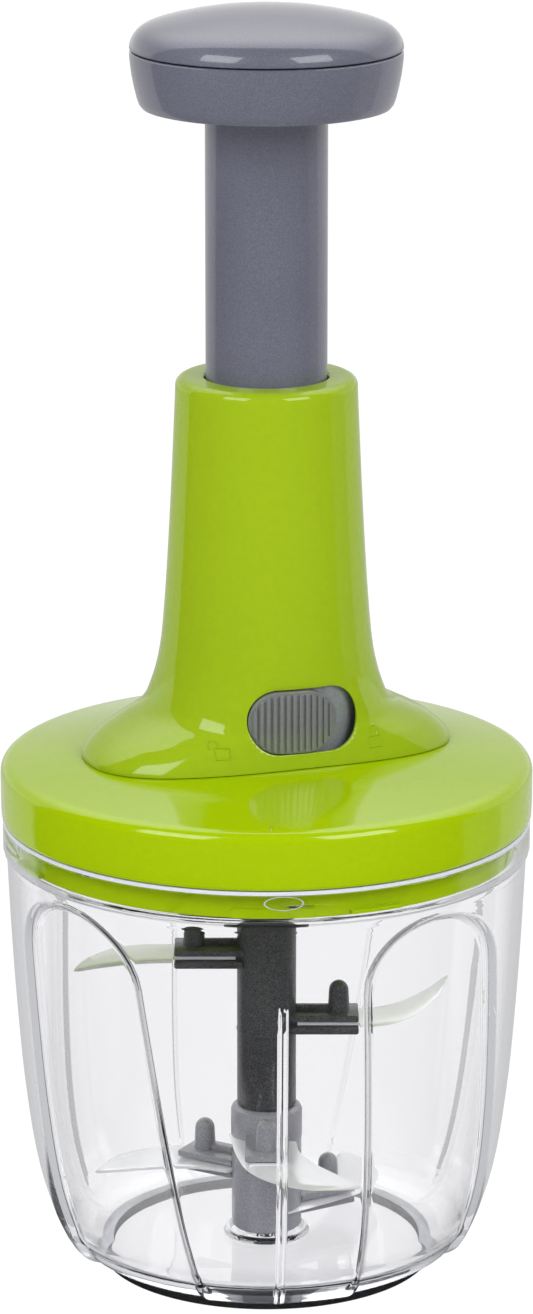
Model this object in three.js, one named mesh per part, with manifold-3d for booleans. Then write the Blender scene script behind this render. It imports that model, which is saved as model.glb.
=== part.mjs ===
// Push-down food chopper: a clear bowl, a lid with a plunger drive, and five blades.
// Millimetres, +Z up, origin on the table under the middle of the bowl.
// The lock button faces -Y and the long side of the housing lies along X.

import * as THREE from 'three';
import { mergeVertices } from 'three/addons/utils/BufferGeometryUtils.js';
import Module from 'manifold-3d';

const wasm = await Module();
wasm.setup();

// Clearances and cutting overrun
const seatGap = 0.3;
const runningGap = 0.4;
const overrun = 2;

// Rubber ring under the bowl
const ringHeight = 2.9;
const ringInset = 8.3;
const ringWidth = 4;
const ringEdge = 1.1;

// Bowl
const bowlWall = 2.6;
const quarterTurn = 90;
const bowlFloor = 3.3;
const bowlBodyHeight = 127.3;
const bowlRimHeight = 9.8;
const bowlRimStep = 1;
const bowlFootRadius = 59.5;
const bowlTopRadius = 78.5;
const bowlFootRound = 5.6;
const floorInset = 12.5;
const panelDepth = 2.2;
const panelEdge = 3;
const panelFoot = 4;
const bowlTurnAngle = -16.9;
const bowlHeightShares = [0, 0.1, 0.23, 0.42, 0.61, 0.8, 1];
const bowlRadiusShares = [0, 0.31, 0.565, 0.75, 0.86, 0.94, 1];
const panelSpringShare = 0.81;
const panelTopShare = 0.953;
const panelClosedShare = 0.03;
const bowlLevelShares = [0.1, 0.23, 0.42, 0.62];
const panelFootHalfAngle = 21.2;
const panelTopHalfAngle = 16.6;
const panelTurnAngle = -4.2;
const panelLeanAngle = 9;
const bossRadius = 6.2;
const bossHeight = 2;
const bossRingRadius = 12.7;
const bossRingWall = 1.3;
const bossRingHeight = 3;
const lugCount = 4;
const lugReach = 1.5;
const lugHeight = 1.8;
const lugAngle = 12;
const lugDrop = 5;

// Pivot pin and the blade unit
const pinRadius = 2.5;
const pinHeight = 58;
const pinSunk = 2.2;
const hubRadius = 10.7;
const hubHeight = 38.9;
const hubChamfer = 1.4;
const hubCoreRadius = 6.2;
const hubCoreHeight = 19;
const lowerBladeShares = [0.16, 0.455, 0.75];
const bushWall = 0.9;
const shaftRadius = 9;
const shaftDrop = 9.8;
const upperBladeShares = [0.365, 0.649];
const tangWidth = 5;
const tangHeight = 9;
const armLength = 28;
const armWidth = 13;
const armBelow = 3.2;
const armAbove = 2.8;
const bladeThickness = 1;
const bladeRootWidth = 10.4;
const bladeWidth = 17;
const bladeSweepAngle = 28;
const stakeRadius = 2;
const pegRadius = 3;
const pegHeight = 9.5;
const pegPlace = 22;
const lowerBladePass = 6;
const upperBladeRoom = 12.7;
const lowerBladeRise = -1.5;
const upperBladeRise = 4;
const lowerBladeAngles = [9.5, 129.5, 249.5];
const upperBladeAngles = [-20.5, 159.5];

// Lid
const lidOverhang = 0.5;
const lidSide = 14;
const lidShoulder = 3.8;
const lidCrown = 6.6;
const lidWall = 2.4;
const lidHole = 14;
const crownShares = [1, 0.72, 0.42];
const skirtGap = 2;
const skirtDrop = 9.6;
const sealHeight = 1.6;
const plateThickness = 2.4;
const plateRaise = 0.8;
const sleeveWall = 2.6;

// Housing
const housingHeight = 115;
const housingReach = 56.6;
const housingDepth = 35.3;
const neckRadius = 27;
const neckRound = 2.7;
const housingWall = 2.6;
const neckPlate = 3.2;
const housingHeightShares = [0, 0.03, 0.075, 0.107, 0.13, 0.162, 0.261, 0.391, 0.652, 0.965];
const housingReachShares = [1, 0.993, 0.807, 0.571, 0.392, 0.29, 0.179, 0.122, 0.057, 0];
const housingDepthShares = [1, 0.99, 0.855, 0.783, 0.747, 0.711, 0.578, 0.434, 0.205, 0];
const housingSquareShares = [2.7, 2.7, 2.6, 2.5, 2.4, 2.3, 2.05, 2, 2, 2];

// Plunger and its guide
const plungerRadius = 18;
const plungerWall = 2.6;
const pressedCollarGap = 1.85;
const pressedKnobGap = 2.5;
const guideHeight = 22.5;
const guideRadius = 24;
const guideWall = 1.6;
const guideFlange = 29;
const guideFlangeThickness = 1.6;
const collarHeight = 3;
const collarRadius = 21.9;
const earReach = 25;
const earWidth = 8;
const ledgeWall = 1.8;
const ledgeHeight = 1.8;
const nutHeight = 5.4;
const retainerHeight = 1.5;
const retainerBore = 9;
const topFlangeRadius = 24;
const topFlangeHeight = 2.5;
const springTowerRadius = 15;
const springTowerHeight = 12;

// Spindle and drive
const spindleRadius = 7.2;
const spindleWaist = 4.6;
const spindleLead = 52;
const spindleRise = 9;
const driveRoom = 3.7;
const journalRadius = 4.2;
const journalTail = 2;
const tipRadius = 3;
const tipHeight = 5;
const socketRadius = 12.4;
const socketOverlap = 10;
const socketFlange = 15.6;
const socketFlangeThickness = 2.2;
const washerThickness = 0.8;
const dogAngle = 40;
const toothCount = 6;
const toothShare = 0.4;
const toothHeight = 2.2;
const toothRing = 3.4;
const driverThickness = 2.6;
const clipHeight = 1.2;
const clipWidth = 2.4;
const clipOpeningAngle = 30;
const seatRadius = 13;
const seatThickness = 2;
const spigotRadius = 9.4;
const spigotHeight = 5.5;
const bushFlange = 17;
const bushFlangeThickness = 1.3;
const springRadius = 11.3;
const springWire = 1.6;
const springTurns = 12;

// Knob
const knobRadius = 39.9;
const knobBaseHeight = 16.9;
const knobFoot = 34.5;
const knobFootRound = 2.6;
const knobTaper = 2.4;
const knobWall = 2.5;
const knobSeam = 0.5;
const knobEdge = 2.6;
const knobShoulder = 8.5;
const knobCrown = 12.3;
const knobSkirt = 7;

// Lock
const lockFacing = -90;
const lockHeight = 18.5;
const lockCentre = 17.7;
const lockOuter = 35;
const lockButtonDepth = 4.7;
const lockButtonHalfAngle = 22.5;
const lockHalfTravelAngle = 6.6;
const lockRibCount = 13;
const lockRibHeight = 0.7;
const lockRibWidth = 1;
const carrierThickness = 1.8;
const carrierMargin = 1.3;
const carrierOverlapAngle = 3;
const tongueWidth = 4;
const tongueHeight = 2.4;
const tongueReach = 19.2;

// Screws
const screwRadius = 1.5;
const screwHead = 3;
const screwHeadHeight = 1.8;
const bossWall = 2;
const housingScrewInset = 13.6;
const housingScrewY = 12;
const housingScrewLength = 7;
const lidScrewInset = 12.5;
const lidScrewLength = 12;
const lidScrewCount = 3;
const knobScrewCount = 3;
const knobScrewLength = 3.6;

// Facet counts
const bigFacets = 40;
const middleFacets = 24;
const smallFacets = 16;
const pegFacets = 10;
const screwFacets = 8;
const sectionPoints = 28;
const panelSteps = 3;
const lobeSteps = 4;
const spindlePoints = 12;
const spindleSteps = 10;
const springSteps = 8;
const springSides = 4;

// Heights worked out from the sizes
const ringRadius = bowlFootRadius - ringInset;
const bowlFoot = ringHeight + seatGap;
const floorTop = bowlFoot + bowlFloor;
const bowlFloorRadius = bowlFootRadius - floorInset;
const rimFoot = bowlFoot + bowlBodyHeight;
const rimTop = rimFoot + bowlRimHeight;
const rimRadius = bowlTopRadius + bowlRimStep;
const rimInner = rimRadius - bowlWall;
const lidRadius = rimRadius + lidOverhang;
const lidFoot = rimTop + seatGap;
const lidEdge = lidFoot + lidSide;
const crownEdge = lidRadius - lidShoulder;
const crownFoot = lidEdge + lidShoulder;
const crownTop = crownFoot + lidCrown;
const skirtOuter = rimInner - skirtGap;
const skirtInner = skirtOuter - lidWall;
const lidScrewRing = skirtInner - lidScrewInset;
const skirtFoot = lidFoot - skirtDrop;
const plateFoot = skirtFoot + plateRaise;
const plateTop = plateFoot + plateThickness;
const housingFoot = crownTop - lidCrown * 0.75;
const housingScrewX = housingReach - housingScrewInset;
const flangeFoot = crownTop + seatGap;
const flangeTop = flangeFoot + guideFlangeThickness;
const housingTop = housingFoot + housingHeight;
const housingInside = housingTop - neckPlate;
const guideTop = housingInside - seatGap;
const guideFoot = guideTop - guideHeight;
const collarTop = guideFoot - seatGap;
const collarFoot = collarTop - collarHeight;
const nutFoot = collarFoot + retainerHeight + seatGap;
const nutTop = nutFoot + nutHeight;
const driverTop = crownAt(lidHole) - lidWall - driveRoom;
const driverFoot = driverTop - driverThickness;
const flangeHigh = driverFoot - seatGap - toothHeight;
const flangeLow = flangeHigh - socketFlangeThickness;
const sleeveTop = flangeLow - washerThickness - 2 * seatGap;
const clipTop = flangeLow - clipHeight - 3 * seatGap;
const spindleFoot = driverTop + seatGap;
const spindleTop = nutTop + spindleRise;
const plungerTravel = collarFoot - flangeTop - pressedCollarGap;
const plungerRest = plungerTravel + pressedKnobGap;
const knobBottom = housingTop + plungerRest;
const knobSeat = knobBottom + knobWall + seatGap;
const knobBaseTop = knobBottom + knobBaseHeight;
const hubFoot = floorTop + bossHeight + seatGap;
const hubTop = hubFoot + hubHeight;
const shaftFoot = hubTop + seatGap;
const shaftTop = plateFoot - shaftDrop;
const shaftHeight = shaftTop - shaftFoot;
const lowerBladeReach = bowlFloorRadius + lowerBladePass;
const upperBladeReach = bowlTopRadius - bowlWall - panelDepth - upperBladeRoom;
const spindleTurnRate = -2 * Math.PI / spindleLead;
const lockMiddle = housingFoot + lockCentre;
const lockInner = lockOuter - lockButtonDepth;
const carrierOuter = lockInner - seatGap;
const carrierInner = carrierOuter - carrierThickness;
const slotHeight = lockHeight + 2 * runningGap;
const slotHalf = lockOuter * Math.sin(radians(lockButtonHalfAngle + lockHalfTravelAngle)) + seatGap;
const carrierHalf = lockButtonHalfAngle + 2 * lockHalfTravelAngle + carrierOverlapAngle;
const carrierTop = lockMiddle + slotHeight / 2 + carrierMargin;
const lockRest = lockFacing - lockHalfTravelAngle;
const tongueFoot = collarTop - plungerTravel + runningGap;
const towerTop = knobSeat + topFlangeHeight + springTowerHeight;
const springFoot = spindleTop + 2 * seatGap + seatThickness;
const springTop = towerTop - plungerWall - seatGap;
const knobScrewRing = (topFlangeRadius + springTowerRadius + plungerWall) / 2;

function radians(degrees) {
  return degrees * Math.PI / 180;
}

// Height of the lid's crown at a distance from the axis
function crownAt(radius) {
  const out = radius / crownEdge;
  return crownTop - lidCrown * out * out;
}

// Shape helpers

// Turns a closed three.js geometry into a solid with shared corners and outward faces.
function solid(geometry) {
  const bare = geometry.index ? geometry.toNonIndexed() : geometry.clone();
  bare.deleteAttribute('normal');
  bare.deleteAttribute('uv');
  const merged = mergeVertices(bare, seatGap / 1000);
  const source = merged.index.array;
  const place = merged.attributes.position;
  const corners = [];
  let volume = 0;
  const a = new THREE.Vector3();
  const b = new THREE.Vector3();
  const c = new THREE.Vector3();
  for (let i = 0; i < source.length; i += 3) {
    const [p, q, r] = [source[i], source[i + 1], source[i + 2]];
    if (p === q || q === r || r === p) continue;
    corners.push(p, q, r);
    a.fromBufferAttribute(place, p);
    b.fromBufferAttribute(place, q);
    c.fromBufferAttribute(place, r);
    volume += a.dot(b.cross(c));
  }
  if (volume < 0) corners.reverse();
  const mesh = new wasm.Mesh({
    numProp: 3,
    vertProperties: new Float32Array(place.array),
    triVerts: new Uint32Array(corners),
  });
  return new wasm.Manifold(mesh);
}

// Revolves a profile of [radius, height] pairs about Z.
function lathe(profile, facets) {
  const points = profile.map(([radius, height]) => new THREE.Vector2(radius, height));
  return solid(new THREE.LatheGeometry(points, facets).rotateX(Math.PI / 2));
}

// Closed profile of a ring, back to its first point.
function ringLathe(profile, facets) {
  return lathe([...profile, profile[0]], facets);
}

function disc(radius, foot, top, facets) {
  return lathe([[0, foot], [radius, foot], [radius, top], [0, top]], facets);
}

function tube(inner, outer, foot, top, facets) {
  return ringLathe([[inner, foot], [outer, foot], [outer, top], [inner, top]], facets);
}

function block(width, depth, height, x, y, z) {
  return solid(new THREE.BoxGeometry(width, depth, height).translate(x, y, z));
}

function extrude(shape, height, foot, curveSegments = 6) {
  const settings = { depth: height, bevelEnabled: false, curveSegments };
  return solid(new THREE.ExtrudeGeometry(shape, settings).translate(0, 0, foot));
}

// Part of a ring between two angles in degrees.
function sector(inner, outer, from, to, foot, top, steps = 4) {
  const shape = new THREE.Shape();
  shape.absarc(0, 0, outer, radians(from), radians(to), false);
  shape.absarc(0, 0, inner, radians(to), radians(from), true);
  return extrude(shape, top - foot, foot, steps);
}

function turned(body, degrees) {
  return body.rotate([0, 0, degrees]);
}

// Closed body through a stack of outlines with the same number of points.
function loft(outlines) {
  const count = outlines[0].length;
  const corners = [];
  const push = (...points) => points.forEach((point) => corners.push(point.x, point.y, point.z));
  for (let level = 0; level + 1 < outlines.length; level += 1) {
    for (let i = 0; i < count; i += 1) {
      const next = (i + 1) % count;
      const [low, high] = [outlines[level], outlines[level + 1]];
      push(low[i], low[next], high[next]);
      push(low[i], high[next], high[i]);
    }
  }
  for (const [outline, flip] of [[outlines[0], true], [outlines[outlines.length - 1], false]]) {
    const middle = outline.reduce((sum, point) => sum.add(point), new THREE.Vector3());
    middle.divideScalar(count);
    for (let i = 0; i < count; i += 1) {
      const next = (i + 1) % count;
      if (flip) push(middle, outline[next], outline[i]);
      else push(middle, outline[i], outline[next]);
    }
  }
  const geometry = new THREE.BufferGeometry();
  geometry.setAttribute('position', new THREE.Float32BufferAttribute(corners, 3));
  return solid(geometry);
}

// Value of a smooth curve through hand-picked shares, from 0 to 1.
function shareAt(places, values, place) {
  const last = places.length - 1;
  if (place <= places[0]) return values[0];
  if (place >= places[last]) return values[last];
  const i = places.findIndex((next, k) => place <= places[k + 1]);
  const slope = (k) => {
    const [low, high] = [Math.max(k - 1, 0), Math.min(k + 1, last)];
    return (values[high] - values[low]) / (places[high] - places[low]);
  };
  const span = places[i + 1] - places[i];
  const t = (place - places[i]) / span;
  const start = values[i] * (1 + 2 * t) * (1 - t) ** 2 + span * slope(i) * t * (1 - t) ** 2;
  const end = values[i + 1] * t * t * (3 - 2 * t) - span * slope(i + 1) * t * t * (1 - t);
  return start + end;
}

function part(name, body, colour, roughness, metalness = 0) {
  const source = body.getMesh();
  const geometry = new THREE.BufferGeometry();
  const place = new THREE.BufferAttribute(new Float32Array(source.vertProperties), 3);
  geometry.setAttribute('position', place);
  geometry.setIndex(new THREE.BufferAttribute(new Uint32Array(source.triVerts), 1));
  geometry.computeVertexNormals();
  const material = new THREE.MeshStandardMaterial({ color: colour, roughness, metalness });
  const mesh = new THREE.Mesh(geometry, material);
  mesh.name = name;
  return mesh;
}

// Colours
const green = 0xa4c823;
const lidGreen = 0x9bbe10;
const grey = 0x76767f;
const darkGrey = 0x4a4b4f;
const charcoal = 0x3a3b3d;
const clear = 0xe8edf2;
const steel = 0xb9bcc0;
const rubber = 0x3c3f40;
const white = 0xe9e9e6;

// Rubber ring with eased lower edges
function baseRing() {
  const inner = ringRadius - ringWidth;
  return ringLathe([
    [inner, ringEdge],
    [inner + ringEdge, 0],
    [ringRadius - ringEdge, 0],
    [ringRadius, ringEdge],
    [ringRadius, ringHeight],
    [inner, ringHeight],
  ], bigFacets);
}

// Bowl: proud lobes with arched panels sunk between them, four of each

function bowlRadiusAt(height) {
  const share = (height - bowlFoot) / bowlBodyHeight;
  const grown = shareAt(bowlHeightShares, bowlRadiusShares, share);
  return bowlFootRadius + (bowlTopRadius - bowlFootRadius) * grown;
}

// Half angle of a panel at a height, closing in an elliptic arch at its top.
function panelHalfAt(height) {
  const share = (height - bowlFoot) / bowlBodyHeight;
  const straight = panelFootHalfAngle + (panelTopHalfAngle - panelFootHalfAngle) * Math.min(share, 1);
  if (share <= panelSpringShare) return straight;
  const rise = (share - panelSpringShare) / (panelTopShare - panelSpringShare);
  return straight * Math.sqrt(Math.max(1 - rise * rise, panelClosedShare));
}

// One level of the bowl's skin. Its columns follow the edges of the panels.
function bowlOutline(height, radius, depth, followPanels) {
  const outline = [];
  const share = (height - bowlFoot) / bowlBodyHeight;
  const lean = panelLeanAngle * (0.5 - share);
  const even = quarterTurn / (panelSteps + lobeSteps + 2);
  const edge = followPanels ? panelEdge / radius * 180 / Math.PI : even;
  const half = followPanels ? panelHalfAt(height) : even * panelSteps / 2;
  for (let quarter = 0; quarter < 4; quarter += 1) {
    const quarterMiddle = bowlTurnAngle + panelTurnAngle + quarterTurn * (quarter - 0.5);
    const middle = quarterMiddle + (followPanels ? lean : 0);
    for (let i = 0; i <= panelSteps; i += 1) {
      const angle = radians(middle - half + 2 * half * i / panelSteps);
      outline.push(polar(radius - depth, angle, height));
    }
    const from = middle + half + edge;
    const to = middle + quarterTurn - half - edge;
    for (let i = 0; i <= lobeSteps; i += 1) {
      const angle = radians(from + (to - from) * i / lobeSteps);
      outline.push(polar(radius, angle, height));
    }
  }
  return outline;
}

function polar(radius, angle, height) {
  return new THREE.Vector3(radius * Math.cos(angle), radius * Math.sin(angle), height);
}

function bowlLevels() {
  const shares = [...bowlLevelShares, panelSpringShare];
  const arch = panelTopShare - panelSpringShare;
  for (const climb of [35, 60, 78]) shares.push(panelSpringShare + arch * Math.sin(radians(climb)));
  return shares.map((share) => bowlFoot + share * bowlBodyHeight);
}

function bowlOuter() {
  const outlines = [];
  for (const climb of [0, 45]) {
    const radius = bowlFootRadius - bowlFootRound * (1 - Math.sin(radians(climb)));
    const height = bowlFoot + bowlFootRound * (1 - Math.cos(radians(climb)));
    outlines.push(bowlOutline(height, radius, panelDepth * climb / 90, true));
  }
  for (const height of bowlLevels()) {
    outlines.push(bowlOutline(height, bowlRadiusAt(height), panelDepth, true));
  }
  const closed = bowlFoot + panelTopShare * bowlBodyHeight;
  outlines.push(bowlOutline(closed, bowlRadiusAt(closed), 0, true));
  const step = rimFoot - bowlRimStep;
  outlines.push(bowlOutline(step, bowlRadiusAt(step), 0, false));
  outlines.push(bowlOutline(rimFoot, rimRadius, 0, false));
  outlines.push(bowlOutline(rimTop, rimRadius, 0, false));
  return loft(outlines);
}

function bowlInner() {
  const outlines = [];
  const levels = bowlLevels().filter((height) => height > floorTop + 2 * panelFoot);
  const cornerTop = levels[0];
  const cornerRadius = bowlRadiusAt(cornerTop) - bowlWall;
  for (const climb of [0, 45]) {
    const radius = bowlFloorRadius + (cornerRadius - bowlFloorRadius) * Math.sin(radians(climb));
    const height = floorTop + (cornerTop - floorTop) * (1 - Math.cos(radians(climb)));
    outlines.push(bowlOutline(height, radius, panelDepth * climb / 90, true));
  }
  for (const height of levels) {
    outlines.push(bowlOutline(height, bowlRadiusAt(height) - bowlWall, panelDepth, true));
  }
  const closed = bowlFoot + panelTopShare * bowlBodyHeight;
  outlines.push(bowlOutline(closed, bowlRadiusAt(closed) - bowlWall, 0, true));
  outlines.push(bowlOutline(rimFoot, bowlTopRadius - bowlWall, 0, false));
  outlines.push(bowlOutline(rimFoot + bowlRimStep, rimInner, 0, false));
  outlines.push(bowlOutline(rimTop + overrun, rimInner, 0, false));
  return loft(outlines);
}

function bowl() {
  let body = bowlOuter().subtract(bowlInner());
  const bossFoot = floorTop - bowlFloor / 2;
  body = body.add(disc(bossRadius, bossFoot, floorTop + bossHeight, smallFacets));
  const ringInner = bossRingRadius - bossRingWall;
  const ringTop = floorTop + bossRingHeight;
  body = body.add(tube(ringInner, bossRingRadius, bossFoot, ringTop, middleFacets));
  const lugTop = rimTop - lugDrop;
  for (let i = 0; i < lugCount; i += 1) {
    const from = bowlTurnAngle + i * 360 / lugCount;
    const outer = rimInner + bowlWall / 2;
    body = body.add(sector(rimInner - lugReach, outer, from, from + lugAngle, lugTop - lugHeight, lugTop));
  }
  const pinFoot = floorTop - pinSunk;
  return body.subtract(disc(pinRadius + seatGap, pinFoot, hubFoot + overrun, smallFacets));
}

// Steel pin that the blade unit turns on, with a rounded tip
function pivotPin() {
  const foot = floorTop - pinSunk + seatGap;
  const top = foot + pinHeight;
  const profile = [[0, foot], [pinRadius, foot]];
  for (const climb of [0, 35, 65]) {
    const height = top - pinRadius * (1 - Math.sin(radians(climb)));
    profile.push([pinRadius * Math.cos(radians(climb)), height]);
  }
  profile.push([0, top]);
  return lathe(profile, smallFacets);
}

// Blade arms: a split block, a stake through the blade and a round-topped peg
function arm(hub, angle, height) {
  const stack = armBelow + armAbove;
  const middle = height + (armAbove - armBelow) / 2;
  let body = block(armLength, armWidth, stack, armLength / 2, 0, middle);
  const slotHeightHere = bladeThickness + 2 * seatGap;
  const slotWidth = bladeRootWidth + 2 * seatGap;
  const slotLength = armLength - hub + overrun;
  body = body.subtract(block(slotLength, slotWidth, slotHeightHere, hub + slotLength / 2, 0, height));
  const stakeX = (hub + armLength) / 2;
  const stake = disc(stakeRadius, height - armBelow / 2, height + armAbove / 2, screwFacets);
  body = body.add(stake.translate([stakeX, 0, 0]));
  const pegFoot = height + armAbove - bladeThickness;
  const pegTop = height + armAbove + pegHeight;
  const profile = [[0, pegFoot], [pegRadius, pegFoot]];
  for (const climb of [0, 40, 70]) {
    const rounded = pegTop - pegRadius * (1 - Math.sin(radians(climb)));
    profile.push([pegRadius * Math.cos(radians(climb)), rounded]);
  }
  profile.push([0, pegTop]);
  body = body.add(lathe(profile, pegFacets).translate([pegPlace, 0, 0]));
  return turned(body, angle);
}

// Sickle blade with its cutting edge on the leading, clockwise side
function blade(hub, reach, rise, angle, height) {
  const root = hub + seatGap;
  const tip = new THREE.Vector2(Math.cos(radians(bladeSweepAngle)), Math.sin(radians(bladeSweepAngle)));
  tip.multiplyScalar(reach);
  const half = bladeWidth / 2;
  const start = armLength + seatGap;
  const belly = (armLength + tip.x) / 2;
  const shape = new THREE.Shape();
  shape.moveTo(start, -half);
  shape.quadraticCurveTo(belly + half, -half, tip.x, tip.y);
  shape.quadraticCurveTo(belly, half, start, half);
  const settings = { depth: bladeThickness, bevelEnabled: false, curveSegments: 7 };
  const geometry = new THREE.ExtrudeGeometry(shape, settings).translate(0, 0, -bladeThickness / 2);
  const place = geometry.attributes.position;
  for (let i = 0; i < place.count; i += 1) {
    const out = Math.max(0, (place.getX(i) - start) / (tip.x - start));
    place.setZ(i, place.getZ(i) + rise * out * out);
  }
  const tangLength = start + seatGap - root;
  const tang = block(tangLength, bladeRootWidth, bladeThickness, root + tangLength / 2, 0, 0);
  const hole = disc(stakeRadius + seatGap, -overrun, overrun, screwFacets);
  const body = solid(geometry).add(tang.subtract(hole.translate([(hub + armLength) / 2, 0, 0])));
  return turned(body.translate([0, 0, height]), angle);
}

function hubBore(body, foot, top) {
  return body.subtract(disc(pinRadius + bushWall + 2 * seatGap, foot, top, smallFacets));
}

// Lower hub with three arms, and a core that plugs into the upper shaft
function lowerHub() {
  const coreTop = hubTop + hubCoreHeight;
  let body = lathe([
    [0, hubFoot],
    [hubRadius, hubFoot],
    [hubRadius, hubTop - hubChamfer],
    [hubRadius - hubChamfer, hubTop],
    [hubCoreRadius, hubTop],
    [hubCoreRadius, coreTop],
    [0, coreTop],
  ], smallFacets);
  lowerBladeAngles.forEach((angle, i) => {
    body = body.add(arm(hubRadius, angle, hubFoot + hubHeight * lowerBladeShares[i]));
  });
  const boreTop = floorTop - pinSunk + seatGap + pinHeight + seatGap;
  body = hubBore(body, hubFoot - overrun, boreTop - pinRadius * 2);
  return body.subtract(disc(pinRadius + seatGap, hubFoot, boreTop, smallFacets));
}

function hubBush() {
  const top = hubTop - hubChamfer;
  return tube(pinRadius + seatGap, pinRadius + seatGap + bushWall, hubFoot, top, smallFacets);
}

// Upper shaft with two arms and a flat tang for the drive
function upperShaft() {
  let body = disc(shaftRadius, shaftFoot, shaftTop, smallFacets);
  const tang = block(
    2 * (shaftRadius - seatGap), tangWidth, tangHeight + overrun,
    0, 0, shaftTop + (tangHeight - overrun) / 2,
  );
  body = body.add(tang.intersect(disc(shaftRadius - seatGap, shaftFoot, shaftTop + tangHeight, smallFacets)));
  upperBladeAngles.forEach((angle, i) => {
    body = body.add(arm(shaftRadius, angle, shaftFoot + shaftHeight * upperBladeShares[i]));
  });
  const plugTop = hubTop + hubCoreHeight + seatGap;
  return body.subtract(disc(hubCoreRadius + seatGap, shaftFoot - overrun, plugTop, smallFacets));
}

// Lid cover: crowned top, side wall, a shelf on the bowl's rim and a skirt inside it
function lidCover() {
  const profile = [[lidHole, crownAt(lidHole) - lidWall], [lidHole, crownAt(lidHole)]];
  for (const share of [...crownShares].reverse()) {
    profile.push([crownEdge * share, crownAt(crownEdge * share)]);
  }
  for (const climb of [45, 0]) {
    const out = crownEdge + lidShoulder * Math.cos(radians(climb));
    profile.push([out, lidEdge + lidShoulder * Math.sin(radians(climb))]);
  }
  profile.push([lidRadius, lidFoot], [skirtOuter, lidFoot], [skirtOuter, skirtFoot]);
  profile.push([skirtInner, skirtFoot], [skirtInner, lidFoot + lidWall]);
  profile.push([lidRadius - lidWall, lidFoot + lidWall], [lidRadius - lidWall, lidEdge]);
  for (const share of crownShares) {
    const radius = Math.min(crownEdge * share, crownEdge - lidWall / 2);
    profile.push([radius, crownAt(radius) - lidWall]);
  }
  let body = ringLathe(profile, bigFacets);
  for (const [x, y] of housingScrewPlaces()) {
    const hole = disc(screwRadius + seatGap, lidFoot, crownTop + overrun, screwFacets);
    body = body.subtract(hole.translate([x, y, 0]));
  }
  for (let i = 0; i < lidScrewCount; i += 1) {
    const ceiling = crownAt(lidScrewRing) - lidWall / 2;
    let boss = disc(screwRadius + seatGap + bossWall, plateTop + seatGap, ceiling, screwFacets);
    const hole = disc(screwRadius + seatGap, plateTop, lidScrewTop() + seatGap, screwFacets);
    boss = boss.subtract(hole).translate([lidScrewRing, 0, 0]);
    body = body.add(turned(boss, i * 360 / lidScrewCount));
  }
  const rampFoot = rimFoot + bowlRimStep + seatGap;
  for (let i = 0; i < lugCount; i += 1) {
    const from = bowlTurnAngle + i * 360 / lugCount + lugAngle + lugAngle / 4;
    const inner = (skirtOuter + skirtInner) / 2;
    const outer = rimInner - runningGap;
    const top = rimTop - lugDrop - lugHeight - runningGap;
    body = body.add(sector(inner, outer, from, from + lugAngle, rampFoot, top));
  }
  return body;
}

function housingScrewPlaces() {
  const places = [];
  for (const x of [-housingScrewX, housingScrewX]) {
    for (const y of [-housingScrewY, housingScrewY]) places.push([x, y]);
  }
  return places;
}

function lidScrewTop() {
  return plateFoot + lidScrewLength;
}

// Soft ring between the skirt and the bowl's rim
function lidSeal() {
  const top = lidFoot - seatGap;
  return tube(skirtOuter + seatGap, rimInner - runningGap, top - sealHeight, top, bigFacets);
}

// Plate that closes the lid from below and carries the drive socket in its sleeve
function lidUnderplate() {
  const bore = socketRadius + runningGap;
  const sleeveOuter = bore + sleeveWall;
  const outer = skirtInner - seatGap;
  let body = ringLathe([
    [bore, plateFoot],
    [outer, plateFoot],
    [outer, plateTop],
    [sleeveOuter, plateTop],
    [sleeveOuter, sleeveTop],
    [bore, sleeveTop],
  ], bigFacets);
  for (let i = 0; i < lidScrewCount; i += 1) {
    const hole = disc(screwRadius + seatGap, plateFoot - overrun, plateTop + overrun, screwFacets);
    body = body.subtract(turned(hole.translate([lidScrewRing, 0, 0]), i * 360 / lidScrewCount));
  }
  return body;
}

// A screw standing head down, with its head's top at the given height
function screw(headTop, length, facets = screwFacets) {
  return lathe([
    [0, headTop - screwHeadHeight],
    [screwHead, headTop - screwHeadHeight],
    [screwHead, headTop],
    [screwRadius, headTop],
    [screwRadius, headTop + length],
    [0, headTop + length],
  ], facets);
}

function joined(bodies) {
  return bodies.reduce((sum, body) => sum.add(body));
}

function lidScrew(index) {
  const placed = screw(plateFoot - seatGap, lidScrewLength).translate([lidScrewRing, 0, 0]);
  return turned(placed, index * 360 / lidScrewCount);
}

function housingScrew([x, y]) {
  const head = crownAt(Math.hypot(housingScrewX, housingScrewY)) - lidWall - 2 * seatGap;
  return screw(head, housingScrewLength).translate([x, y, 0]);
}

// Outline of the housing at one of its levels, drawn in by an inset
function housingOutline(level, inset, height) {
  const reach = neckRadius + (housingReach - neckRadius) * housingReachShares[level] - inset;
  const depth = neckRadius + (housingDepth - neckRadius) * housingDepthShares[level] - inset;
  const power = 2 / housingSquareShares[level];
  const outline = [];
  for (let i = 0; i < sectionPoints; i += 1) {
    const angle = 2 * Math.PI * i / sectionPoints;
    const x = Math.sign(Math.cos(angle)) * Math.abs(Math.cos(angle)) ** power;
    const y = Math.sign(Math.sin(angle)) * Math.abs(Math.sin(angle)) ** power;
    outline.push(new THREE.Vector3(reach * x, depth * y, height));
  }
  return outline;
}

function housingSkin(inset, top) {
  const outlines = [];
  housingHeightShares.forEach((share, level) => {
    const height = housingFoot + share * housingHeight;
    if (height < top) outlines.push(housingOutline(level, inset, height));
  });
  return outlines;
}

function housingOuter() {
  const last = housingHeightShares.length - 1;
  const outlines = housingSkin(0, housingTop - neckRound);
  for (const climb of [0, 45, 90]) {
    const inset = neckRound * (1 - Math.cos(radians(climb)));
    const height = housingTop - neckRound * (1 - Math.sin(radians(climb)));
    outlines.push(housingOutline(last, inset, height));
  }
  return loft(outlines);
}

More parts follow.
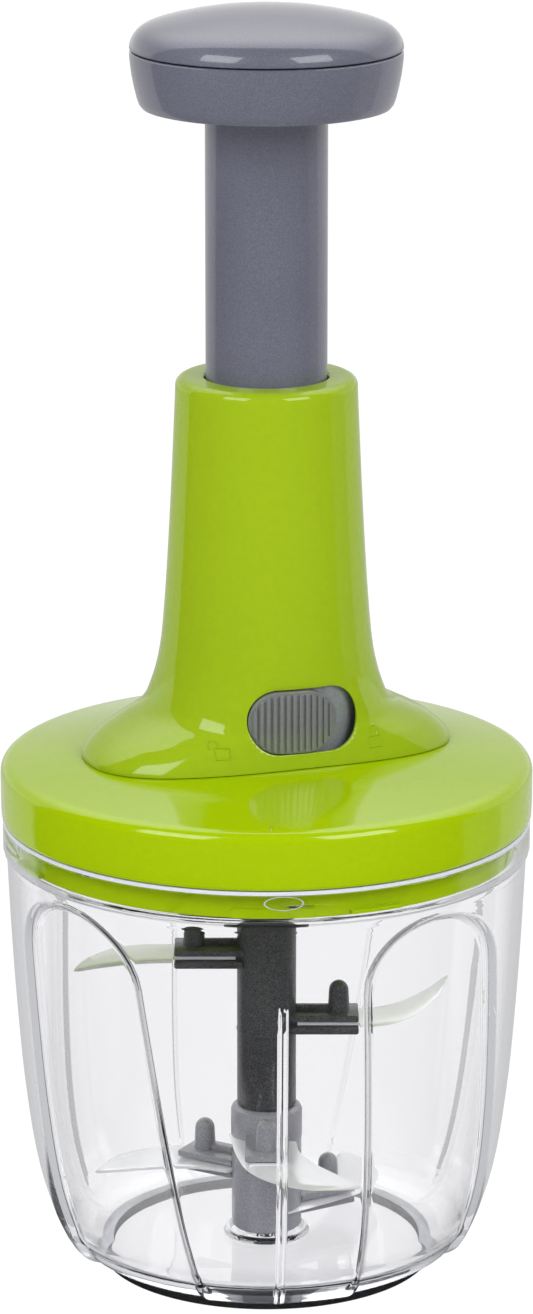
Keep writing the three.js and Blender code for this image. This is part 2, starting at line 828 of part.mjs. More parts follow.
function housingInner() {
  const last = housingHeightShares.length - 1;
  const outlines = housingSkin(housingWall, housingInside);
  outlines.push(housingOutline(last, housingWall, housingInside));
  return loft(outlines);
}

// Round-ended slot for the lock button, cut through the front wall
function lockSlot(outset) {
  const radius = slotHeight / 2 + outset;
  const straight = slotHalf + outset - radius;
  const shape = new THREE.Shape();
  shape.absarc(straight, 0, radius, -Math.PI / 2, Math.PI / 2, false);
  shape.absarc(-straight, 0, radius, Math.PI / 2, 3 * Math.PI / 2, false);
  const depth = lockOuter + overrun;
  const settings = { depth, bevelEnabled: false, curveSegments: 8 };
  const geometry = new THREE.ExtrudeGeometry(shape, settings).rotateX(Math.PI / 2);
  return solid(geometry.translate(0, 0, lockMiddle));
}

// The crown's shape raised by a gap, which the housing is seated on
function crownCutter() {
  const profile = [[0, lidFoot], [crownEdge, lidFoot]];
  for (const share of crownShares) {
    const radius = crownEdge * share;
    profile.push([radius, crownAt(radius) + seatGap]);
  }
  profile.push([lidHole, crownAt(lidHole) + seatGap], [0, crownAt(lidHole) + seatGap]);
  return lathe(profile, bigFacets);
}

function housing() {
  const outer = housingOuter();
  let body = outer.subtract(housingInner());
  for (const [x, y] of housingScrewPlaces()) {
    const boss = disc(screwRadius + seatGap + bossWall, housingFoot, lockMiddle, screwFacets);
    const hole = disc(screwRadius + seatGap, housingFoot - overrun, housingScrewTop(), screwFacets);
    body = body.add(boss.translate([x, y, 0]).intersect(outer)).subtract(hole.translate([x, y, 0]));
  }
  body = body.subtract(disc(plungerRadius + runningGap, housingInside - overrun, housingTop + overrun, middleFacets));
  body = body.subtract(lockSlot(0)).subtract(carrierPocket());
  return body.subtract(crownCutter());
}

// Pocket inside the front wall that the lock carrier slides in
function carrierPocket() {
  const span = carrierHalf + 2 * lockHalfTravelAngle;
  const top = carrierTop + runningGap;
  const [from, to] = [lockFacing - span, lockFacing + span];
  return sector(carrierInner, carrierOuter + runningGap, from, to, housingFoot, top, 12);
}

function housingScrewTop() {
  const head = crownAt(Math.hypot(housingScrewX, housingScrewY)) - lidWall - 2 * seatGap;
  return head + housingScrewLength + seatGap;
}

// Guide: a bearing in the neck and a slotted skirt down to the lid
function guideSleeve() {
  const skirt = guideRadius - guideWall;
  let body = ringLathe([
    [skirt, flangeFoot],
    [guideFlange, flangeFoot],
    [guideFlange, flangeTop],
    [guideRadius, flangeTop],
    [guideRadius, guideTop],
    [plungerRadius + runningGap, guideTop],
    [plungerRadius + runningGap, guideFoot],
    [skirt, guideFoot],
  ], middleFacets);
  const slotTop = guideFoot;
  const slot = block(
    2 * (guideRadius + overrun), earWidth + 2 * runningGap, slotTop - flangeTop,
    0, 0, (slotTop + flangeTop) / 2,
  );
  body = body.subtract(slot);
  const window = block(
    2 * tongueWindowHalf(), guideRadius, tongueHeight + 2 * runningGap,
    0, -guideRadius, tongueFoot + tongueHeight / 2,
  );
  return body.subtract(window);
}

// Half width of the window that the lock's tongue sweeps in the guide
function tongueWindowHalf() {
  return guideRadius * Math.sin(radians(lockHalfTravelAngle)) + tongueWidth / 2 + 2 * runningGap;
}

function spindleBush() {
  const bore = spindleRadius + runningGap;
  const under = crownAt(lidHole) - lidWall;
  return ringLathe([
    [bore, under],
    [lidHole - seatGap, under],
    [lidHole - seatGap, crownTop + seatGap],
    [bushFlange, crownTop + seatGap],
    [bushFlange, crownTop + seatGap + bushFlangeThickness],
    [bore, crownTop + seatGap + bushFlangeThickness],
  ], smallFacets);
}

// Twisted bar with two rounded flutes, used for the spindle and to cut its nut
function twistedBar(gap, foot, top, steps) {
  const outlines = [];
  for (let i = 0; i <= steps; i += 1) {
    const height = foot + (top - foot) * i / steps;
    const turn = spindleTurnRate * (height - spindleFoot);
    const outline = [];
    for (let k = 0; k < spindlePoints; k += 1) {
      const angle = 2 * Math.PI * k / spindlePoints;
      const wave = Math.cos(angle) ** 2;
      const radius = spindleWaist + (spindleRadius - spindleWaist) * wave + gap;
      outline.push(polar(radius, angle + turn, height));
    }
    outlines.push(outline);
  }
  return loft(outlines);
}

function driveSpindle() {
  const steps = Math.ceil((spindleTop - spindleFoot) / spindleLead * spindleSteps);
  const body = twistedBar(0, spindleFoot, spindleTop, steps);
  const journalFoot = clipTop - clipHeight - journalTail;
  const journal = disc(journalRadius, journalFoot, spindleFoot + overrun, smallFacets);
  const tip = disc(tipRadius, spindleTop - overrun, spindleTop + tipHeight, screwFacets);
  return body.add(journal).add(tip);
}

function thrustWasher() {
  const low = sleeveTop + seatGap;
  return tube(socketRadius + seatGap, socketFlange - seatGap, low, low + washerThickness, middleFacets);
}

// Ring of square ratchet teeth
function teeth(inner, outer, foot, top, shift) {
  const pitch = 360 / toothCount;
  const bodies = [];
  for (let i = 0; i < toothCount; i += 1) {
    const from = i * pitch + shift;
    bodies.push(sector(inner, outer, from, from + pitch * toothShare, foot, top, 2));
  }
  return joined(bodies);
}

// Socket that takes the shaft's tang between two dogs, with ratchet teeth on top
function driveSocket() {
  const bore = shaftRadius + runningGap;
  const seat = clipTop + seatGap;
  const foot = shaftTop - socketOverlap;
  let body = ringLathe([
    [bore, foot],
    [socketRadius, foot],
    [socketRadius, flangeLow],
    [socketFlange, flangeLow],
    [socketFlange, flangeHigh],
    [journalRadius + seatGap, flangeHigh],
    [journalRadius + seatGap, seat],
    [bore, seat],
  ], middleFacets);
  const dogFoot = shaftTop + runningGap;
  for (const side of [0, 180]) {
    const from = upperBladeAngles[0] + quarterTurn + side - dogAngle / 2;
    const inner = tangWidth;
    const dog = sector(inner, bore + seatGap, from, from + dogAngle, dogFoot, dogFoot + tangHeight, 3);
    body = body.add(dog);
  }
  const inner = socketFlange - toothRing;
  return body.add(teeth(inner, socketFlange, flangeHigh - seatGap, flangeHigh + toothHeight, 0));
}

// Driver disc fixed on the spindle, its teeth between the socket's
function ratchetDriver() {
  const inner = socketFlange - toothRing;
  const outer = socketFlange - 2 * seatGap;
  const disk = tube(journalRadius + seatGap, outer, driverFoot, driverTop, middleFacets);
  const shift = 360 / toothCount / 2;
  return disk.add(teeth(inner, outer, flangeHigh + seatGap, driverFoot + seatGap, shift));
}

// Snap ring on the spindle's journal, under the socket's web
function spindleClip() {
  const inner = journalRadius + seatGap;
  return sector(inner, inner + clipWidth, clipOpeningAngle, -clipOpeningAngle, clipTop - clipHeight, clipTop, 10);
}

// Seat on the spindle's tip that the return spring stands on
function springSeat() {
  const low = spindleTop + seatGap;
  const shelf = low + seatThickness;
  return ringLathe([
    [tipRadius + seatGap, low],
    [seatRadius, low],
    [seatRadius, shelf],
    [spigotRadius, shelf],
    [spigotRadius, shelf + spigotHeight],
    [tipRadius + seatGap, shelf + spigotHeight],
  ], smallFacets);
}

// Open helix of round wire, from the seat up to the plunger's ceiling
function returnSpring() {
  const count = springTurns * springSteps;
  const low = springFoot + springWire / 2;
  const high = springTop - springWire / 2;
  const outlines = [];
  for (let i = 0; i <= count; i += 1) {
    const angle = 2 * Math.PI * i / springSteps;
    const centre = polar(springRadius, angle, low + (high - low) * i / count);
    const out = new THREE.Vector3(Math.cos(angle), Math.sin(angle), 0);
    const ring = [];
    for (let k = 0; k < springSides; k += 1) {
      const spin = 2 * Math.PI * k / springSides;
      const point = centre.clone().addScaledVector(out, springWire / 2 * Math.cos(spin));
      point.z += springWire / 2 * Math.sin(spin);
      ring.push(point);
    }
    outlines.push(ring);
  }
  return loft(outlines);
}

// Plunger tube with a keyed collar below, a ledge over the nut and a spring tower above
function plungerTube() {
  const inner = plungerRadius - plungerWall;
  const ledgeFoot = nutTop + seatGap;
  const flange = knobSeat + topFlangeHeight;
  let body = ringLathe([
    [inner, collarFoot],
    [collarRadius, collarFoot],
    [collarRadius, collarTop],
    [plungerRadius, collarTop],
    [plungerRadius, knobSeat],
    [topFlangeRadius, knobSeat],
    [topFlangeRadius, flange],
    [springTowerRadius + plungerWall, flange],
    [springTowerRadius + plungerWall, towerTop],
    [tipRadius, towerTop],
    [tipRadius, towerTop - plungerWall],
    [springTowerRadius, towerTop - plungerWall],
    [springTowerRadius, knobSeat],
    [inner, knobSeat],
    [inner, ledgeFoot + ledgeHeight],
    [inner - ledgeWall, ledgeFoot + ledgeHeight],
    [inner - ledgeWall, ledgeFoot],
    [inner, ledgeFoot],
  ], middleFacets);
  for (const side of [-1, 1]) {
    const length = earReach - plungerRadius;
    const x = side * (plungerRadius + length / 2);
    body = body.add(block(length, earWidth, collarHeight, x, 0, (collarFoot + collarTop) / 2));
  }
  const notchLength = collarRadius;
  const notch = block(
    notchLength, tongueWidth + 3 * runningGap, collarHeight + overrun,
    tongueReach - runningGap + notchLength / 2, 0, (collarFoot + collarTop) / 2,
  );
  body = body.subtract(turned(notch, lockRest));
  for (let i = 0; i < knobScrewCount; i += 1) {
    const hole = disc(screwRadius + seatGap, knobSeat - seatGap / 2, flange + overrun, screwFacets);
    body = body.subtract(turned(hole.translate([knobScrewRing, 0, 0]), i * 360 / knobScrewCount));
  }
  return body;
}

// Nut that rides down the spindle and turns it
function driveNut() {
  const outer = plungerRadius - plungerWall - seatGap;
  const body = disc(outer, nutFoot, nutTop, middleFacets);
  return body.subtract(twistedBar(runningGap, nutFoot - overrun, nutTop + overrun, 6));
}

function nutRetainer() {
  const outer = plungerRadius - plungerWall - seatGap;
  return tube(retainerBore, outer, collarFoot, collarFoot + retainerHeight, middleFacets);
}

// Knob base: a shallow cup that flares up to the seam
function knobBase() {
  const top = knobBaseTop;
  const waist = knobRadius - knobTaper;
  const bore = plungerRadius + seatGap;
  const rise = knobBottom + knobFootRound;
  let body = ringLathe([
    [bore, knobBottom],
    [knobFoot, knobBottom],
    [(knobFoot + waist) / 2 + knobWall / 4, knobBottom + knobFootRound / 3],
    [waist, rise],
    [(waist + knobRadius) / 2 + knobWall / 8, (rise + top) / 2],
    [knobRadius, top - knobFootRound],
    [knobRadius, top],
    [knobRadius - knobWall, top],
    [knobRadius - knobWall, (rise + top) / 2],
    [waist - knobWall, rise + knobWall / 2],
    [knobFoot - knobWall, knobBottom + knobWall],
    [bore, knobBottom + knobWall],
  ], middleFacets);
  for (let i = 0; i < knobScrewCount; i += 1) {
    const hole = disc(screwRadius + seatGap, knobBottom + seatGap, knobSeat + overrun, screwFacets);
    body = body.subtract(turned(hole.translate([knobScrewRing, 0, 0]), i * 360 / knobScrewCount));
  }
  return body;
}

// Knob cap: a low dome with a skirt that plugs into the base
function knobCap() {
  const low = knobBaseTop + knobSeam;
  const skirtOut = knobRadius - knobWall - seatGap;
  const skirtIn = skirtOut - knobWall;
  const shoulder = knobRadius - knobShoulder;
  const top = low + knobCrown;
  const rim = low + knobEdge;
  const profile = [[0, top]];
  profile.push([shoulder * 0.4, top - knobCrown * 0.03], [shoulder * 0.75, top - knobCrown * 0.14]);
  for (const climb of [78, 60, 40, 20, 0]) {
    const out = shoulder + knobShoulder * Math.cos(radians(climb));
    profile.push([out, rim + (knobCrown * 0.8 - knobEdge) * Math.sin(radians(climb))]);
  }
  profile.push([knobRadius, low], [skirtOut, low], [skirtOut, low - knobSkirt]);
  profile.push([skirtIn, low - knobSkirt], [skirtIn, low + knobEdge / 2]);
  profile.push([shoulder - knobWall, low + knobCrown * 0.62], [0, top - knobWall - seatGap]);
  return lathe(profile, middleFacets);
}

function knobScrew(index) {
  const head = knobSeat + topFlangeHeight + seatGap;
  const profile = [
    [0, head - knobScrewLength - seatGap],
    [screwRadius, head - knobScrewLength - seatGap],
    [screwRadius, head],
    [screwHead, head],
    [screwHead, head + screwHeadHeight],
    [0, head + screwHeadHeight],
  ];
  const placed = lathe(profile, screwFacets).translate([knobScrewRing, 0, 0]);
  return turned(placed, index * 360 / knobScrewCount);
}

// Round-ended outline of the lock button, standing along +X and seen along it
function buttonPrism(inset) {
  const half = lockOuter * Math.sin(radians(lockButtonHalfAngle)) - inset;
  const radius = lockHeight / 2 - inset;
  const shape = new THREE.Shape();
  shape.absarc(half - radius, 0, radius, -Math.PI / 2, Math.PI / 2, false);
  shape.absarc(radius - half, 0, radius, Math.PI / 2, 3 * Math.PI / 2, false);
  const settings = { depth: lockOuter + overrun, bevelEnabled: false, curveSegments: 8 };
  const geometry = new THREE.ExtrudeGeometry(shape, settings).rotateX(Math.PI / 2);
  return solid(geometry.translate(0, 0, lockMiddle));
}

// Button: a curved, round-ended pad with upright ribs across its face
function lockButton() {
  const low = lockMiddle - lockHeight / 2;
  const high = lockMiddle + lockHeight / 2;
  const face = lockOuter - lockRibHeight;
  const span = lockButtonHalfAngle + overrun;
  const pad = sector(lockInner, face, lockFacing - span, lockFacing + span, low, high, 12);
  let body = pad.intersect(buttonPrism(0));
  const pitch = 2 * lockButtonHalfAngle / (lockRibCount + 1);
  const half = lockRibWidth / face / 2 * 180 / Math.PI;
  const ribs = [];
  for (let i = 1; i <= lockRibCount; i += 1) {
    const middle = lockFacing - lockButtonHalfAngle + i * pitch;
    ribs.push(sector(face - seatGap, lockOuter, middle - half, middle + half, low, high, 1));
  }
  body = body.add(joined(ribs).intersect(buttonPrism(lockRibHeight)));
  return turned(body, -lockHalfTravelAngle);
}

// Carrier behind the wall: the curved plate that shows beside the button, and its tongue
function lockCarrier() {
  const low = flangeTop + runningGap;
  const [from, to] = [lockFacing - carrierHalf, lockFacing + carrierHalf];
  const plate = sector(carrierInner, carrierOuter, from, to, low, carrierTop, 12);
  const length = carrierInner + carrierThickness / 2 - tongueReach;
  const tongue = block(
    tongueWidth, length, tongueHeight,
    0, -tongueReach - length / 2, tongueFoot + tongueHeight / 2,
  );
  return turned(plate.add(tongue), -lockHalfTravelAngle);
}

const group = new THREE.Group();
group.add(part('base_ring', baseRing(), rubber, 0.85));
group.add(part('bowl', bowl(), clear, 0.05));
group.add(part('pivot_pin', pivotPin(), steel, 0.3, 1));
group.add(part('lower_hub', lowerHub(), darkGrey, 0.5));
group.add(part('hub_bush', hubBush(), white, 0.5));
lowerBladeAngles.forEach((angle, i) => {
  const height = hubFoot + hubHeight * lowerBladeShares[i];
  const body = blade(hubRadius, lowerBladeReach, lowerBladeRise, angle, height);
  group.add(part(`lower_blade_${i + 1}`, body, steel, 0.25, 1));
});
group.add(part('upper_shaft', upperShaft(), charcoal, 0.5));
upperBladeAngles.forEach((angle, i) => {
  const height = shaftFoot + shaftHeight * upperBladeShares[i];
  const body = blade(shaftRadius, upperBladeReach, upperBladeRise, angle, height);
  group.add(part(`upper_blade_${i + 1}`, body, steel, 0.25, 1));
});
group.add(part('lid_seal', lidSeal(), white, 0.6));
group.add(part('lid_cover', lidCover(), lidGreen, 0.2));
group.add(part('lid_underplate', lidUnderplate(), lidGreen, 0.3));
for (let i = 0; i < lidScrewCount; i += 1) {
  group.add(part(`lid_screw_${i + 1}`, lidScrew(i), steel, 0.35, 1));
}
group.add(part('housing', housing(), green, 0.2));
housingScrewPlaces().forEach((place, i) => {
  group.add(part(`housing_screw_${i + 1}`, housingScrew(place), steel, 0.35, 1));
});
group.add(part('guide_sleeve', guideSleeve(), white, 0.5));
group.add(part('spindle_bush', spindleBush(), white, 0.5));
group.add(part('thrust_washer', thrustWasher(), steel, 0.3, 1));
group.add(part('drive_socket', driveSocket(), charcoal, 0.5));
group.add(part('ratchet_driver', ratchetDriver(), darkGrey, 0.5));
group.add(part('drive_spindle', driveSpindle(), steel, 0.3, 1));
group.add(part('spindle_clip', spindleClip(), steel, 0.3, 1));
group.add(part('spring_seat', springSeat(), white, 0.5));
group.add(part('return_spring', returnSpring(), steel, 0.3, 1));
group.add(part('plunger_tube', plungerTube(), grey, 0.4));
group.add(part('drive_nut', driveNut(), white, 0.5));
group.add(part('nut_retainer', nutRetainer(), darkGrey, 0.5));
group.add(part('knob_base', knobBase(), grey, 0.4));
group.add(part('knob_cap', knobCap(), grey, 0.4));
for (let i = 0; i < knobScrewCount; i += 1) {
  group.add(part(`knob_screw_${i + 1}`, knobScrew(i), steel, 0.35, 1));
}
group.add(part('lock_carrier', lockCarrier(), darkGrey, 0.5));
group.add(part('lock_button', lockButton(), grey, 0.35));

export default group;
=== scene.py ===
import math

import bpy
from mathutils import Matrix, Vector


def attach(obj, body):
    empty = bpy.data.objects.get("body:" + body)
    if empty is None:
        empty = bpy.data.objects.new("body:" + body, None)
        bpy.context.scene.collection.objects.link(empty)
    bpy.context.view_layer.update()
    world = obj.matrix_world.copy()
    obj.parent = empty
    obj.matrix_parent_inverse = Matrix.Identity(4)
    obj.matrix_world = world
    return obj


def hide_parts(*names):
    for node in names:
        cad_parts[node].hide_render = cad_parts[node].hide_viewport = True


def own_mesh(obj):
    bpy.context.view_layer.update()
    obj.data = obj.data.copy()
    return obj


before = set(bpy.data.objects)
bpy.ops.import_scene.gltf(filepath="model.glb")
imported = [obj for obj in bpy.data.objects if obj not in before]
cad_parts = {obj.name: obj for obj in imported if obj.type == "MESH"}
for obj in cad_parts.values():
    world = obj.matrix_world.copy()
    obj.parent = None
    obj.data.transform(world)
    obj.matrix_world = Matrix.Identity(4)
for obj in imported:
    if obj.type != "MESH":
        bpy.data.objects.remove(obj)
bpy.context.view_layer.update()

# Photograph's camera
# A long lens a metre and a half away, a little above the lid, just left of the
# lock button.

camera_aim = Vector((0, 0, 0.1889))
camera_rise = math.radians(15.2)
camera_bearing = math.radians(-110.5)
to_camera = Vector((
    math.cos(camera_rise) * math.cos(camera_bearing),
    math.cos(camera_rise) * math.sin(camera_bearing),
    math.sin(camera_rise),
))
camera_distance = 1.557
bpy.ops.object.camera_add(location=camera_aim + to_camera * camera_distance)
camera = bpy.context.object
camera.rotation_euler = (-to_camera).to_track_quat("-Z", "Y").to_euler()
camera.data.sensor_width = 36
camera.data.lens = 142.5
bpy.context.scene.camera = camera
bpy.context.scene.view_settings.view_transform = "Standard"

# Light
# Two soft boxes stand left and right of the camera, and the room is dark on the
# camera's side and white behind the chopper, which the glossy pieces mirror.


class Wire:
    """One value in a recipe. Sums with it add Math nodes."""

    def __init__(self, recipe, socket):
        self.recipe, self.socket = recipe, socket

    def maths(self, operation, first, second=0.0):
        return self.recipe.node("ShaderNodeMath", {"operation": operation}, {0: first, 1: second})

    def __add__(self, other):
        return self.maths("ADD", self, other)

    def __radd__(self, other):
        return self.maths("ADD", other, self)

    def __sub__(self, other):
        return self.maths("SUBTRACT", self, other)

    def __rsub__(self, other):
        return self.maths("SUBTRACT", other, self)

    def __mul__(self, other):
        return self.maths("MULTIPLY", self, other)

    def __pow__(self, other):
        return self.maths("POWER", self, other)

    def larger(self, other):
        return self.maths("MAXIMUM", self, other)

    def ramp(self, low, high, start=0.0, end=1.0):
        """Eases from start to end as the value goes from low to high."""
        settings = {"interpolation_type": "SMOOTHSTEP"}
        return self.recipe.node(
            "ShaderNodeMapRange", settings, {0: self, 1: low, 2: high, 3: start, 4: end}
        )


class Recipe:
    """The nodes of one material, or of the room."""

    def __init__(self, tree):
        self.tree = tree
        tree.nodes.clear()

    def node(self, kind, settings, inputs, output=0):
        made = self.tree.nodes.new(kind)
        for name, value in settings.items():
            setattr(made, name, value)
        for name, value in inputs.items():
            if isinstance(value, Wire):
                self.tree.links.new(value.socket, made.inputs[name])
            else:
                made.inputs[name].default_value = value
        return Wire(self, made.outputs[output]) if made.outputs else None

    def mix(self, share, first, second):
        """A colour between two."""
        inputs = {0: share, 6: first, 7: second}
        return self.node("ShaderNodeMix", {"data_type": "RGBA"}, inputs, 2)

    def layer(self, share, first, second):
        """One shader over another."""
        return self.node("ShaderNodeMixShader", {}, {0: share, 1: first, 2: second})

    def ray(self, kind):
        """What Blender says of the ray that reaches the surface."""
        return self.node("ShaderNodeLightPath", {}, {}, kind)

    def along(self, vector, way):
        """How far a vector points one way, from -1 to 1."""
        settings = {"operation": "DOT_PRODUCT"}
        return self.node("ShaderNodeVectorMath", settings, {0: vector, 1: way}, "Value")

    def background(self, strength):
        """White light from the room."""
        return self.node("ShaderNodeBackground", {}, {"Strength": strength})


world = bpy.data.worlds.new("studio")
world.use_nodes = True
bpy.context.scene.world = world
room = Recipe(world.node_tree)
direction = room.node("ShaderNodeTexCoord", {}, {}, "Generated")
ahead = room.along(direction, to_camera)
upwards = room.along(direction, (0, 0, 1))
dark_bearing = camera_bearing - math.radians(4)
dark_side = Vector((math.cos(dark_bearing), math.sin(dark_bearing), -0.30))
darkwards = room.along(direction, dark_side)
white_room = upwards.ramp(0.0, 0.25, 1.2, 1.0) + upwards.ramp(0.35, 0.9, 0.0, 2.2)
shine = darkwards.ramp(-0.305, -0.28, 1.0, 0.0) * white_room + 0.02
mirrored = room.background(shine)
# What is mirrored through the bowl gets a little more light, for what its walls swallow.
lost = room.ray("Glossy Depth").ramp(1, 2) * 0.5
mirrored_through = room.background(shine * 1.1 + lost + 0.15)
fill = ahead.ramp(-0.8, 0.3, 0.9, 0.36) + upwards.ramp(0.4, 1.0, 0.0, 0.35)
ambient = room.background(fill)
ambient_through = room.background(fill * 2.0)
backdrop = room.node("ShaderNodeBackground", {}, {"Color": (1, 1, 1, 1), "Strength": 1.0})
through = room.layer(room.ray("Glossy Depth"), backdrop, mirrored_through)
through = room.layer(room.ray("Diffuse Depth"), through, ambient_through)
seen = room.layer(room.ray("Is Glossy Ray"), ambient, mirrored)
seen = room.layer(room.ray("Is Transmission Ray"), seen, through)
seen = room.layer(room.ray("Is Camera Ray"), seen, backdrop)
room.node("ShaderNodeOutputWorld", {}, {"Surface": seen})

lamp_side = 42
lamp_rise = math.radians(33)
lamp_distance = 2.0
for side in (-lamp_side, lamp_side):
    lamp_bearing = camera_bearing + math.radians(side)
    away = Vector((
        math.cos(lamp_rise) * math.cos(lamp_bearing),
        math.cos(lamp_rise) * math.sin(lamp_bearing),
        math.sin(lamp_rise),
    ))
    bpy.ops.object.light_add(type="AREA", location=camera_aim + away * lamp_distance)
    lamp = bpy.context.object
    lamp.rotation_euler = (-away).to_track_quat("-Z", "Y").to_euler()
    lamp.data.shape = "RECTANGLE"
    lamp.data.size = 1.05
    lamp.data.size_y = 1.0
    lamp.data.energy = 17.0
    lamp.visible_transmission = False

# Table
# A white sheet that keeps a faint shadow of the chopper. What the glossy pieces
# mirror of it is dark on the camera's side, like the room.

bpy.ops.mesh.primitive_plane_add(size=8, location=(0, 0, -0.0002))
table = bpy.context.object
table.name = "table"
sheet_material = bpy.data.materials.new("white_sheet")
sheet_material.use_nodes = True
sheet = Recipe(sheet_material.node_tree)
paper = sheet.node("ShaderNodeBsdfDiffuse", {}, {"Color": (0.88, 0.88, 0.88, 1)})
glow = sheet.node("ShaderNodeEmission", {}, {"Strength": 1.13})
dark = sheet.node("ShaderNodeBsdfDiffuse", {}, {"Color": (0.02, 0.02, 0.02, 1)})
spot = sheet.node("ShaderNodeTexCoord", {}, {}, "Object")
bearing = sheet.node("ShaderNodeVectorMath", {"operation": "NORMALIZE"}, {0: spot})
nearer = sheet.along(bearing, to_camera)
behind = nearer.ramp(-0.40, -0.34, 1.0, 0.0) * 0.62
to_right = Vector((-math.sin(camera_bearing), math.cos(camera_bearing), 0))
righter = sheet.along(bearing, to_right)
lit = behind.larger(righter.ramp(0.3, 0.5) * nearer.ramp(0.0, 0.08, 0.28, 0.0))
straight = sheet.ray("Is Camera Ray").larger(sheet.ray("Is Transmission Ray"))
shown = straight.larger(sheet.ray("Is Glossy Ray"))
top = sheet.layer(shown * 0.83, paper, glow)
mirrored = sheet.ray("Glossy Depth").ramp(0, 1) * (1 - sheet.ray("Diffuse Depth").ramp(0, 1))
surface = sheet.layer(mirrored * (1 - lit), top, dark)
sheet.node("ShaderNodeOutputMaterial", {}, {"Surface": surface})
table.data.materials.append(sheet_material)

# Rubber ring
# A black rubber ring with a rounded lower edge and a dull, fine-grained skin,
# under the bowl's flat foot. A pale film over its top is painted light that makes
# the ring's top face show lighter.

mm = 0.001


def alone():
    """Leaves nothing selected."""
    bpy.ops.object.select_all(action="DESELECT")


def picked(piece):
    """Leaves only that piece selected, and active."""
    alone()
    piece.select_set(True)
    bpy.context.view_layer.objects.active = piece


def turned(name, path, around=128):
    """Pulls rings up one from another about the chopper's axis, as on a lathe.

    The path is a list of [radius, height] in millimetres.
    """
    alone()
    radius, height = path[0]
    bpy.ops.mesh.primitive_circle_add(
        vertices=around, radius=radius * mm, location=(0, 0, height * mm)
    )
    piece = bpy.context.object
    piece.name = name
    bpy.ops.object.mode_set(mode="EDIT")
    bpy.ops.mesh.select_all(action="SELECT")
    for next_radius, next_height in path[1:]:
        rise = (0, 0, (next_height - height) * mm)
        bpy.ops.mesh.extrude_edges_move(TRANSFORM_OT_translate={"value": rise})
        grow = next_radius / radius
        bpy.ops.transform.resize(value=(grow, grow, 1), center_override=(0, 0, next_height * mm))
        radius, height = next_radius, next_height
    close_up()
    return piece


def close_up():
    """Merges the doubles of the mesh being edited and turns its faces out."""
    bpy.ops.mesh.select_all(action="SELECT")
    bpy.ops.mesh.remove_doubles(threshold=0.000004)
    bpy.ops.mesh.normals_make_consistent(inside=False)
    bpy.ops.object.mode_set(mode="OBJECT")


def closed_ends():
    """Puts a face in each open end of the active piece."""
    bpy.ops.object.mode_set(mode="EDIT")
    bpy.ops.mesh.select_mode(type="EDGE")
    bpy.ops.mesh.select_all(action="DESELECT")
    bpy.ops.mesh.select_non_manifold()
    bpy.ops.mesh.edge_face_add()
    close_up()


def eased(piece, width, segments=2, angle=32):
    """Rounds the piece's sharp edges."""
    bpy.context.view_layer.objects.active = piece
    edge = piece.modifiers.new("edge", "BEVEL")
    edge.width = width * mm
    edge.segments = segments
    edge.limit_method = "ANGLE"
    edge.angle_limit = math.radians(angle)
    bpy.ops.object.modifier_apply(modifier="edge")


def fitted(piece, material, body, slot, *nodes, smooth=34):
    """Gives a finished piece its material, its body and the solids that it stands for."""
    picked(piece)
    bpy.ops.object.transform_apply(location=True, rotation=True, scale=True)
    bpy.ops.object.shade_smooth_by_angle(angle=math.radians(smooth))
    piece.data.materials.clear()
    piece.data.materials.append(material)
    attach(piece, body)
    if nodes:
        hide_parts(*nodes)


class Finish(Recipe):
    """A material with one Principled shader."""

    def __init__(self, name):
        self.material = bpy.data.materials.new(name)
        self.material.use_nodes = True
        super().__init__(self.material.node_tree)
        self.place = self.node("ShaderNodeTexCoord", {}, {}, "Object")

    def noise(self, scale, detail=2.0):
        """Cloudy values about 0.5, with so many bumps to the metre."""
        return self.node(
            "ShaderNodeTexNoise", {}, {"Vector": self.place, "Scale": scale, "Detail": detail}
        )

    def bump(self, height, depth):
        """Relief of that depth in millimetres."""
        inputs = {"Height": height, "Distance": depth * mm, "Strength": 1.0}
        return self.node("ShaderNodeBump", {}, inputs)

    def shader(self, **sockets):
        named = {name.replace("_", " "): value for name, value in sockets.items()}
        return self.node("ShaderNodeBsdfPrincipled", {}, named)

    def done(self, surface):
        self.node("ShaderNodeOutputMaterial", {}, {"Surface": surface})
        return self.material


def plastic(name, colour, rough, grain=1500, tone=0.10, depth=0.012, **extra):
    """Moulded plastic: a fine skin texture, and a slight change of tone from place to place."""
    finish = Finish(name)
    speck = finish.noise(grain, 3.0)
    cloud = finish.noise(22, 2.0)
    dark = tuple(c * (1 - tone) for c in colour) + (1,)
    light = tuple(min(1, c * (1 + tone)) for c in colour) + (1,)
    base = finish.mix((speck * 0.7 + cloud * 0.3).ramp(0.35, 0.65), dark, light)
    surface = finish.shader(
        Base_Color=base,
        Roughness=rough + (cloud - 0.5) * 0.08 + (speck - 0.5) * 0.10,
        Normal=finish.bump(speck, depth),
        **extra,
    )
    return finish.done(surface)


rubber = plastic(
    "foot_rubber", (0.016, 0.016, 0.017), 0.6, 900, 0.25, 0.05, Specular_IOR_Level=0.25,
)
ring_inside = 47.2
ring_outside = 51.2
ring_top = 3.5
ring = turned("foot_ring", [
    (ring_inside, 1.1), (47.6, 0.35), (48.3, 0), (50.1, 0), (50.75, 0.3), (ring_outside, 1.1),
    (ring_outside, ring_top), (ring_inside, ring_top), (ring_inside, 1.1),
])
fitted(ring, rubber, "bowl", "foot_rubber", "base_ring")
# Painted light: a pale film over the ring's top face, so that the face shows lighter.
ring_top_light_paint = plastic("painted_ring_top_light", (0.60, 0.60, 0.64), 0.45, 700, 0.10, 0.02)
film_foot = ring_top + 0.05
film_top = ring_top + 0.25
film = turned("ring_painted_light_top", [
    (47.3, film_foot), (51.1, film_foot), (51.1, film_top), (47.3, film_top), (47.3, film_foot),
])
fitted(film, ring_top_light_paint, "bowl", "foot_rubber")

